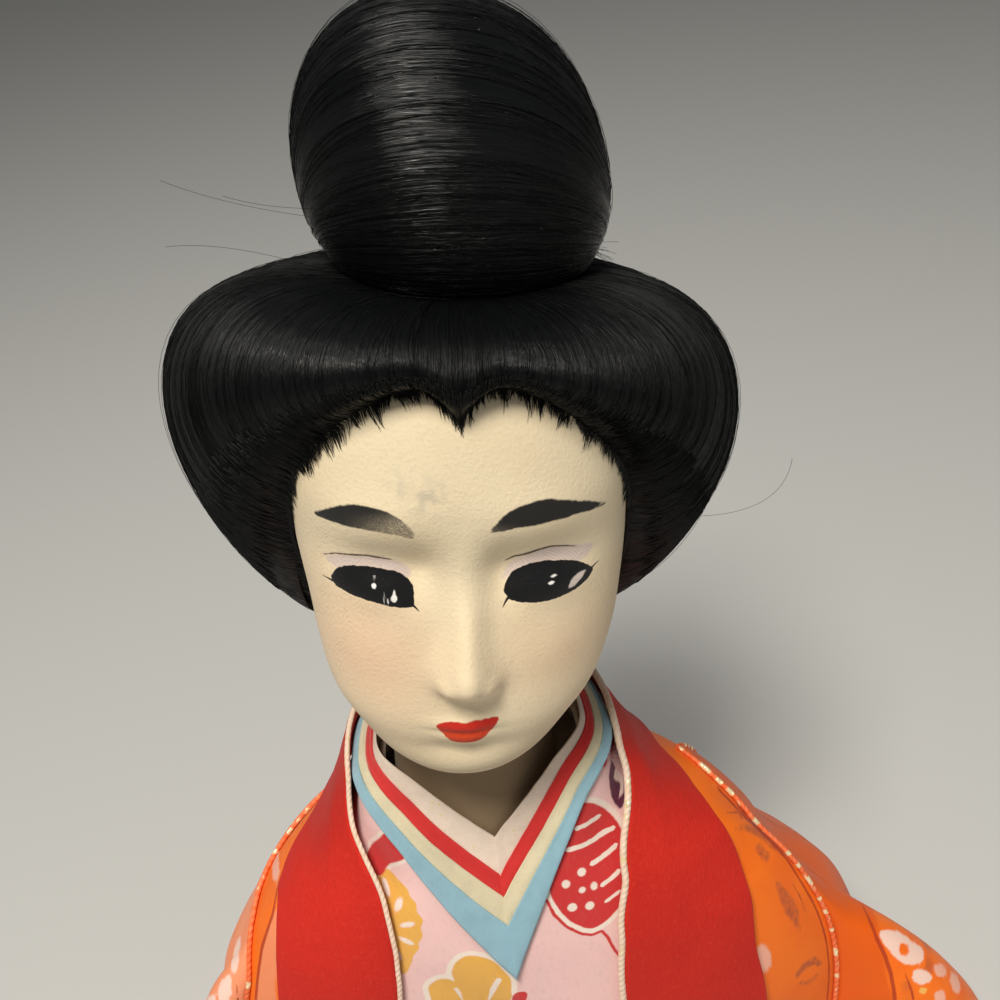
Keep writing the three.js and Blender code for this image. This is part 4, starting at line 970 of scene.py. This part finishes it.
# The wide collar's edges from the nape down to the foot: [place, degrees round from the side towards the
# back, height]
wide = {
    "inner": {
        "left": [[0, 90, 94.6], [0.1, 50, 94.2], [0.2, 10, 93], [0.26, -9, 89.6], [0.3, -18, 86], [0.34, -29, 83],
            [0.41, -50, 76.4], [0.48, -64.2, 68.3], [0.56, -71.1, 58.9], [0.65, -74.6, 48], [1, -81.7, 0]],
        "right": [[0, 90, 94.6], [0.1, 50, 94.2], [0.2, 7, 93.6], [0.25, -8, 91], [0.29, -15.5, 87.2],
            [0.33, -26, 83.6], [0.37, -37, 80.3], [0.41, -47.5, 76.4], [0.46, -57, 71.2], [0.52, -63.5, 65],
            [0.58, -66.6, 59], [0.65, -68, 52], [1, -77.2, 0]],
    },
    "outer": {
        "left": [[0, 90, 74.5], [0.12, 55, 76], [0.22, 30, 77.5], [0.29, 13, 78], [0.33, 6, 75.6], [0.37, -2, 73.7],
            [0.42, -14.5, 71.4], [0.46, -22.5, 68.6], [0.52, -33.4, 62.4], [0.58, -41.3, 56], [0.65, -46.6, 48],
            [1, -58.8, 0]],
        "right": [[0, 90, 74.5], [0.12, 55, 76], [0.22, 31, 77], [0.29, 17, 76], [0.34, 10, 72.6], [0.38, 3.5, 69],
            [0.42, -3, 67], [0.47, -15, 65], [0.53, -27.5, 59.8], [0.6, -35.5, 51.2], [0.68, -40, 42.2],
            [1, -48.5, 0]],
    },
    "columns": 420, "red": (0.60, 0.022, 0.012), "deep": (0.44, 0.014, 0.010),
    "piping": (0.52, 0.08),           # its radius, and how much thicker it is at the doll's left
}


def collarKeys(edge):
    # the edge's keys as [place, angle, height], places from -1 at the right foot to 1 at the left
    left = [[p, math.radians(turn), z] for p, turn, z in edge["left"]]
    right = [[-p, math.pi - math.radians(turn), z] for p, turn, z in edge["right"]]
    return right[1:][::-1] + left


innerKeys, outerKeys = collarKeys(wide["inner"]), collarKeys(wide["outer"])


def widePoint(place, across, out):
    # between the inner and outer edge, a share across, grown by out and settled a little towards the inner
    angle, z = (through(innerKeys, place, i) * (1 - across) + through(outerKeys, place, i) * across for i in (1, 2))
    settled = 0.7 * ramp(0.08, 0.18, np.abs(place)) + 0.3 * ramp(0.3, 0.45, np.abs(place))
    return bodyPoint(angle, z, wideOut + out - settled * (1 - ramp(0, 0.35, across)))


def crepeFinish():
    # crepe: fine crinkles that run down the collar, an uneven red and a soft nap
    f = Finish("redCrepe", wide["red"], 0.8, Specular_IOR_Level=0.2, Sheen_Weight=0.06, Sheen_Roughness=0.4)
    crinkle, grain = f.noise(1, 3, 0.6, f.scaled(f.cloth, (26, 5, 1))), f.noise(1500)
    f.paint(f.noise(60).spread(0.3, 0.7, 0, 0.35), wide["deep"])
    f.paint(crinkle.spread(0.45, 0.75, 0, 0.4), wide["deep"])
    f.paint(grain.spread(0.5, 0.8, 0, 0.25), (0.72, 0.06, 0.035))
    return f.done(crinkle + grain * 0.7, 0.00012, 0.9)


def evenPlaces(count):
    # places from -1 to 1, a little closer at the nape
    t = np.linspace(-1, 1, count)
    return np.sign(t) * np.abs(t) ** 1.2


def buildWide():
    # across the section: round at both edges, thick between, then back along the inside
    section = foldProfile(0.025, 0.06, 0.96, 26, 8, 0.02)
    place, across = np.meshgrid(evenPlaces(wide["columns"]), section[:, 0])
    puffy = 0.2 * np.sin(np.pi * np.clip(across, 0, 1)) ** 0.7 + 0.14 * waver(place * 90, across * 26, 20, 41)
    points = widePoint(place, across, section[:, 1:] * (doll["wideThick"] + puffy))
    skin = shell(np.swapaxes(points, 0, 1), "fans")
    makePiece("collar_wide_red", [skin], crepeFinish(), ["wide_red_collar"])


def twisted(path, out, radius, turnsPerMm, patch=0.0):
    # a laid cord of two plies: its radius swells with cos(2 (angle - twist along)), so that they show
    sides, walk = 10, runLengths(path[None], 1)[0][:, None]
    ply = np.cos(4 * np.pi * (np.arange(sides) / sides - turnsPerMm * walk))
    radius, patch = (np.reshape(v, (-1, 1)) + 0 * ply for v in (radius, patch))
    return cords(path[None], radius * (0.985 + 0.015 * ply), out, sides, {"ply": ply, "patch": patch})


def pipingFinish(name, base, deep, glint, share):
    # a corded edge of twisted thread with gold-shot thread showing here and there, and pale gold painted on at the
    # given patches: gold thread with painted highlights
    f = Finish(name, base, 0.55)
    # the grooves between the plies take deep: on the gold collar piping a darker brown, painted shade in the grooves;
    # on the armhole pipings a lighter salmon
    f.paint(f.value("ply").spread(-0.2, -1.0, 0, 0.3), deep)
    f.paint(f.noise(500, 3).spread(0.4, 0.75, 0, 0.4), deep)
    sparkle = f.specks(620, share, 0.05, (0.55, 0.35)) * f.noise(150).spread(0.40, 0.60)
    sparkle = sparkle.most((f.value("patch") + (f.noise(1200) - 0.5)).spread(0.35, 0.6))
    f.paint(sparkle, glint)
    return f.done(f.value("ply") * 0.6 + f.noise(1800), 0.0001, 0.7, Metallic=sparkle * 0.3,
                  Roughness=sparkle.spread(0, 1, 0.6, 0.22))


def buildCollarPiping():
    place = evenPlaces(700)
    middle, above = (widePoint(place, 0 * place - 0.014, 0 * place + out) for out in (0.55, 1.5))
    finish = pipingFinish("goldPiping", (0.88, 0.68, 0.54), (0.70, 0.40, 0.22), (0.98, 0.80, 0.50), 0.4)
    radius = wide["piping"][0] + wide["piping"][1] * np.sin(np.pi * np.clip(place * 2, -0.5, 0.5))
    makePiece("collar_gold_piping", [twisted(middle, unit(above - middle), radius, 0.45)], finish,
              ["collar_piping"])


buildWide()
buildCollarPiping()
print("collars made")


# The brocade robe under the wide collar: [height, x of its edge at the doll's left, at its right]. Marks
# lie at x and the seen height: outlines, strokes and lines as on the face, spots [.., turn in degrees]
robe = {
    "edge": [[0, 26, 27], [48, 30, 30], [64, 30.5, 30], [72, 29.5, 29], [78, 26.5, 26], [84, 24.2, 24.2]],
    "rows": 110, "columns": 270,
    "orange": (0.98, 0.185, 0.008), "deep": (0.90, 0.13, 0.005), "stroke": (0.40, 0.08, 0.035),
    "pink": (0.92, 0.50, 0.38), "salmon": (0.94, 0.32, 0.16), "satin": (0.78, 0.105, 0.002),
    # the dark red of the lines serves printed lines and painted shade lines alike
    "printAndShadeLine": (0.42, 0.035, 0.008), "white": (0.93, 0.68, 0.58), "gold": (0.90, 0.50, 0.12),
    # blurred arabesque strokes on the doll's left front
    "strokes": [[40.1, 52.9, 0.1, 42.4, 52.2, 0.4, 44.6, 50.8, 0.5, 46.5, 48.8, 0.45, 48.1, 46.7, 0.4,
        49.4, 45.1, 0.2], [44.5, 48.3, 0.7, 45.4, 46.4, 0.8], [46.8, 41.6, 0.3, 47.8, 39.2, 1, 49, 36, 1.2,
        50.2, 31.8, 0.3], [48.8, 22.2, 0.2, 50.3, 23.9, 0.7, 52.4, 24.2, 0.8, 54.5, 22.8, 0.3], [49.6, 20.8, 0.2,
        51.5, 20, 0.6, 53.6, 20.8, 0.2]],
    # thin lines: printed beside the strokes, and the dark line on the doll's right front, painted shade in the gap
    # before the armhole piping
    "lines": [[39.6, 55.4, 0.03, 42, 54.4, 0.1, 44.8, 52.9, 0.1, 47.6, 50, 0.03], [49.8, 40.4, 0.03, 51.1, 37.4, 0.12,
        51.9, 34.2, 0.03], [-39.1, 53.9, 0.1, -40.6, 48.6, 0.24, -43.8, 42.5, 0.28, -46, 36, 0.28, -47.1, 32.3, 0.26,
        -48, 24, 0.2]],
    "pinks": [[42.7, 28.6, 1.5, 3, 8], [-40.6, 54.6, 1.1, 1.8, 20]],
    "salmons": [[-38.3, 49.6, -40.2, 49, -43.5, 42.4, -46.8, 32.2, -47.6, 22, -42, 22, -42.5, 33, -40.5, 41,
        -37.6, 46]],
}


def robePoint(angle, z, out):
    # soft folds down the back and sides, and pressed down beside the collar
    drapes = ramp(70, 10, z) * ramp(-0.3, 0.3, np.sin(angle)) * (1.3 + 0.9 * np.sin(8 * angle + 0.03 * z))
    pressed = doll["robeEase"] * np.maximum(ramp(64, 70, z), ramp(-0.05, -0.4, np.sin(angle)))
    return bodyPoint(angle, z, out + drapes - pressed - dropped(angle, z))


def brocadeFinish(name, base, deep):
    # printed satin brocade: scrolls where a warped ring pattern meets a blotchy mask, woven ribs, soft sheen
    f = Finish(name, base, 0.5, Sheen_Weight=0.05, Sheen_Roughness=0.35, Specular_IOR_Level=0.3)
    scroll = f.node("TexWave", {"Vector": f.bent(f.at, f.noise(60, out="Color"), (0.02, 0.02, 0.02)), "Scale": 42.0,
                                "Distortion": 6.0, "Detail": 2.0, "Detail Scale": 1.2}, "Fac", wave_type="RINGS")
    fray = (f.noise(620, 3) - 0.5) * 1.1
    f.paint(f.noise(130, 3).spread(0.4, 0.7, 0, 0.5), deep)
    f.paint(f.value("satin"), robe["satin"])
    f.paint(scroll.spread(0.62, 0.85) * f.noise(75).spread(0.50, 0.60) * f.value("scrolls") * 0.6, robe["stroke"])
    f.paint(f.edge("strokes", 0.35, fray) * f.noise(900).spread(0.3, 0.7, 0.35, 0.8), robe["stroke"])
    for key, soft, share in (("salmon", 0.3, 0.8), ("pink", 0.3, 0.85), ("white", 0.25, 0.9), ("gold", 0.2, 0.9)):
        f.paint(f.edge(key + "s", soft, fray) * share, robe[key])
    # dark lines: printed ones, and painted shade along folds and gaps by the pipings and the satin's edge
    f.paint(f.line("lines", 0.14, fray * 0.2) * 0.85, robe["printAndShadeLine"])
    return f.done(f.weave(0.32) * 0.3 + f.noise(1400) * 0.8, 0.00006)


def seenHeight(points):
    # the height in a view from the front and 34 degrees above
    return 0.829 * points[..., 2] + 0.559 * points[..., 1]


def brocadeWall(outer, inner, marks, satin, scrolls):
    # a cloth wall from two grids, over the outside, round the far edge and back inside, with the front's
    # printed marks as distances; satin and scrolls say where the cloth is plain or scrolled
    x, v = outer[..., 0], seenHeight(outer)
    marks = {**dict.fromkeys(("strokes", "salmons", "pinks", "golds", "whites", "hearts", "lines"), ()), **marks}
    values = {key: spots(x, v, marks[key]) for key in ("pinks", "golds")}
    values.update(strokes=shapes(x, v, marks["strokes"], False), salmons=shapes(x, v, marks["salmons"]),
                  whites=np.maximum(shapes(x, v, marks["whites"]), -spots(x, v, marks["hearts"])))
    front, (offset, width) = outer[..., 1] < 14, drawnLine(x, v, marks["lines"])
    values = {k: np.where(front, d, 3.0) for k, d in values.items()}
    values.update(linesOff=offset, linesWide=np.where(front, width, -3.0), satin=satin + 0 * x,
                  scrolls=scrolls + 0 * x)
    back = lambda a, b: np.concatenate([a, b[:, ::-1]], 1)
    return shell(back(outer, inner), "wall", {k: back(d, d) for k, d in values.items()})


def buildRobe():
    z = np.linspace(0, 84, robe["rows"])[:, None]
    start = frontAngle(through(robe["edge"], z, 1), z, robeInside)
    stop = 2 * np.pi + frontAngle(-through(robe["edge"], z, 2), z, robeInside)
    angle = start + (stop - start) * np.linspace(0, 1, robe["columns"])[None]
    z = z + 0 * angle
    soft = 0.15 * waver(angle * 45, z, 26, 51) * ramp(82, 70, z)
    outer, inner = robePoint(angle, z, robeOutside + soft), robePoint(angle, z, robeInside)
    # painted shade: a dark line runs a little inside the left armhole's piping, where the robe folds under it
    height = np.linspace(16, 69, 24)
    printAndShadeLine = armPoint("left", through(arms["left"]["front"], height) - 2.6, height, 0)
    marks = {**robe, "lines": robe["lines"] + [np.stack([printAndShadeLine[:, 0], seenHeight(printAndShadeLine), 0 * height + 0.2], -1)]}
    skin = brocadeWall(outer, inner, marks, 0.0, ramp(16, 26, outer[..., 1]))
    makePiece("robe_brocade", [skin], brocadeFinish("orangeBrocade", robe["orange"], robe["deep"]),
              ["robe"])


# Armholes: [height, degrees from the side towards the back], up the front to the crest and down behind.
# The sleeves' prints are marks like the robe's
arms = {
    "left": {
        "top": 72, "seed": 61, "front": [[0, -38], [24, -27], [34, -22.5], [41, -18.6], [47, -15.2], [53, -12.2],
            [58, -8.2], [63, -1], [67, 4], [70, 10], [72, 20]],
        "back": [[0, 44], [20, 43], [40, 40], [58, 36], [67, 30], [71, 24], [72, 20]],
        # [height, length] of the patches on its piping painted pale gold: gold thread with painted highlights
        "sparks": [[70.4, 0.5], [68.9, 0.4], [67.4, 0.5], [62.9, 0.5], [57.5, 0.4], [55, 0.4], [52.2, 0.5],
            [47.6, 0.4], [44.6, 0.5], [40.6, 0.4], [35.6, 0.9], [30, 0.5]],
        "whites": [[50.2, 50.4, 51.6, 49.4, 53.2, 47.6, 54.2, 46, 53, 46.2, 51.4, 48], [65.8, 26.4, 68.3, 26,
            70.9, 24.1, 73.4, 21.8, 74.4, 19.9, 72.7, 19, 70.3, 19.6, 67.9, 21.6, 66.3, 24.2], [71.4, 18, 73.4, 17.6,
            75.2, 15.8, 73, 15, 71, 16.4]],
        "hearts": [[70.1, 22.2, 1.1, 0.9, -30]], "golds": [[72.8, 13.9, 0.6, 0.6, 0], [50.2, 50.4, 0.5, 0.4, 0]],
        "pinks": [[77.2, 16, 1.7, 1, -30], [80.2, 12.4, 1.2, 1.8, 20], [76, 11.6, 1.2, 1.5, 0]],
        # lines: the first is painted shade in the fold along the satin head's edge
        "lines": [[64, 31, 0.1, 64.4, 28.9, 0.3, 65, 25.6, 0.36, 66, 22.7, 0.38, 66.9, 18.6, 0.38, 67.3, 14, 0.36,
            67.4, 8, 0.3], [69.6, 18, 0.1, 70.6, 14, 0.22, 71, 8, 0.2]],
    },
    "right": {
        "top": 66, "seed": 62, "front": [[0, -34], [20, -27.5], [34, -22.5], [44, -18.6], [49, -16.5], [54, -9.5],
            [57.5, -1], [60.5, 12], [63.5, 28], [66, 40]],
        "back": [[0, 44], [20, 44], [38, 44], [52, 45], [60, 46], [65, 44], [66, 40]],
        # patches on this piping painted pale gold: gold thread with painted highlights
        "sparks": [[47.5, 0.9], [43, 1.1], [35, 0.8]],
        "whites": [[-49.2, 42.6, -50.4, 41, -51.1, 38.8, -50, 37.4, -49, 39.6], [-50.8, 36.9, -52.6, 36.4,
            -54.2, 33.4, -53.4, 31.4, -51.4, 33.4], [-54.9, 33.2, -57.2, 31.6, -59.8, 27, -58, 25, -55.2, 29],
            [-51.2, 30.6, -53.6, 29.2, -55.2, 25, -53, 22, -50.8, 26]],
        "golds": [[-51.6, 32, 0.5, 0.6, 0]],
        "lines": [[-50, 35.4, 0.1, -50.6, 31, 0.2, -50.9, 24, 0.2]],
    },
    "radius": 0.47,
    # [height, puff at the doll's left, at its right]
    "puffs": [[0, 23.5, 13], [14, 20.5, 11], [24, 16, 9], [33, 10, 6.8], [38.5, 6, 5.2], [43, 2.8, 3.8],
        [54, 0.4, 0.4], [73, 0, 0]],
    "fullest": -12.0, "ease": 0.8, "thick": 1.0, "rows": 120, "columns": 150,
}


def armPoint(side, turn, z, out):
    a = np.radians(turn) if side == "left" else np.pi - np.radians(turn)
    return robePoint(a, z, robeOutside + out)


def armholePath(side, count):
    rows = arms[side]["front"] + arms[side]["back"][:-1][::-1]
    keys = [[i, turn, z] for i, (z, turn) in enumerate(rows)]
    place = np.linspace(0, len(keys) - 1, count)
    turn, z = through(keys, place, 1), through(keys, place, 2)
    clear = arms["radius"] + 0.15 + 0.2 * ramp(60, 67, z)
    point = armPoint(side, turn, z, clear)
    return point, unit(armPoint(side, turn, z, clear + 1) - point)


def sleevePoint(side, z, share, outside, fold=0.0):
    # from the armhole's front line to its back line over the arm, puffed by a rounded hump
    start, full = through(arms[side]["front"], z), arms["fullest"]
    turn = start + (through(arms[side]["back"], z) - start) * share
    away = (turn - full) / np.where(turn < full, start - full, 20 - 0.26 * z)
    hump = np.maximum(0, 1 - away * away) ** 0.6
    puff = through(arms["puffs"], z, 1 if side == "left" else 2) * hump
    high = ramp(42, 58, z)   # the sleeve's head lies closer on the robe
    sunk = 2.0 * bell(z - 46, 11) * ramp(-24, -8, turn) * ramp(40, 20, turn) * hump if side == "left" else 0.0
    lift = arms["thick"] - 0.5 * high + np.maximum(puff + fold - sunk, -0.25)
    return armPoint(side, turn, z, arms["ease"] - 0.6 * high + outside * lift)


def buildArm(side, base, deep):
    arm, (path, out) = arms[side], armholePath(side, 700)
    # pale gold painted on the piping at the sparks: gold thread with painted highlights
    patch = np.max([bell(path[:, 2] - z, size) for z, size in arm["sparks"]], 0)
    finish = pipingFinish(side + "Piping", (0.88, 0.14, 0.03), (0.90, 0.30, 0.14), (1.0, 0.80, 0.48), 0.3)
    makePiece("piping_" + side, [twisted(path, out, arms["radius"], 0.4, patch)], finish,
              [side + "_armhole_piping"])
    z, share = np.meshgrid(np.linspace(0, arm["top"] - 1.2, arms["rows"]), crowded(arms["columns"], [0.25], 2.0, 0.2),
                           indexing="ij")
    crinkle = 0.25 * waver(share * 60, z * 0.8, 15, arm["seed"]) * np.sin(np.pi * share) * ramp(70, 55, z)
    outer, inner = sleevePoint(side, z, share, 1.0, crinkle), sleevePoint(side, z, share, 0.0)
    x, y = outer[..., 0], outer[..., 1]
    satin, scrolls = 0.0, ramp(6, 16, y)
    if side == "left":   # its head is plain satin, and the scrolls begin farther down its outside
        satin = ramp(66.6, 65.4, x - 3.4 * ramp(34, 12, z)) * 0.9
        scrolls = np.maximum(ramp(68, 70, x), ramp(10, 20, y))
    makePiece("sleeve_" + side, [brocadeWall(outer, inner, arm, satin, scrolls)],
              brocadeFinish(side + "Sleeve", base, deep), [side + "_sleeve"])


buildRobe()
buildArm("left", robe["orange"], robe["deep"])
buildArm("right", robe["salmon"], robe["orange"])
print("robe and sleeves made")


# Stage: a plain pale floor and soft studio light from the upper left
stage = {
    "floor": (0.52, 0.52, 0.505), "half": 1.6,
    # name, place in metres, width, watts, colour; all aim at the same point
    "lights": [
        ("key", (-0.12, -0.34, 0.80), 0.22, 6.8, (1.0, 0.96, 0.87)),
        ("crown", (-0.05, -0.02, 0.75), 0.16, 1.3, (1.0, 0.97, 0.92)),
        ("fill", (0.55, -0.60, 0.50), 0.7, 0.4, (0.94, 0.97, 1.0)),
    ],
    "aim": (0.0, 0.0, 0.12), "sky": (0.60, 0.60, 0.60), "skyStrength": 0.22,
}
mesh = bpy.data.meshes.new("floor")
mesh.from_pydata([(stage["half"] * i, stage["half"] * j, 0) for i, j in ((-1, -1), (1, -1), (1, 1), (-1, 1))], [],
                 [(0, 1, 2, 3)])
mesh.materials.append(Finish("floorPaper", stage["floor"], 0.9).material)
placeInScene("floor", mesh)
for name, place, width, watts, colour in stage["lights"]:
    lamp = bpy.data.lights.new(name, "AREA")
    lamp.size, lamp.energy, lamp.color = width, watts, colour
    way = Vector(stage["aim"]) - Vector(place)
    turn = way.to_track_quat("-Z", "Y").to_matrix().to_4x4()
    placeInScene(name, lamp).matrix_world = Matrix.Translation(place) @ turn
world = bpy.data.worlds.new("studio")
bpy.context.scene.world = world
world.use_nodes = True
back = world.node_tree.nodes["Background"]
back.inputs["Color"].default_value = (*stage["sky"], 1)
back.inputs["Strength"].default_value = stage["skyStrength"]
bpy.context.scene.view_settings.view_transform = "Standard"   # plain colours, as the photograph has
print("stage set")
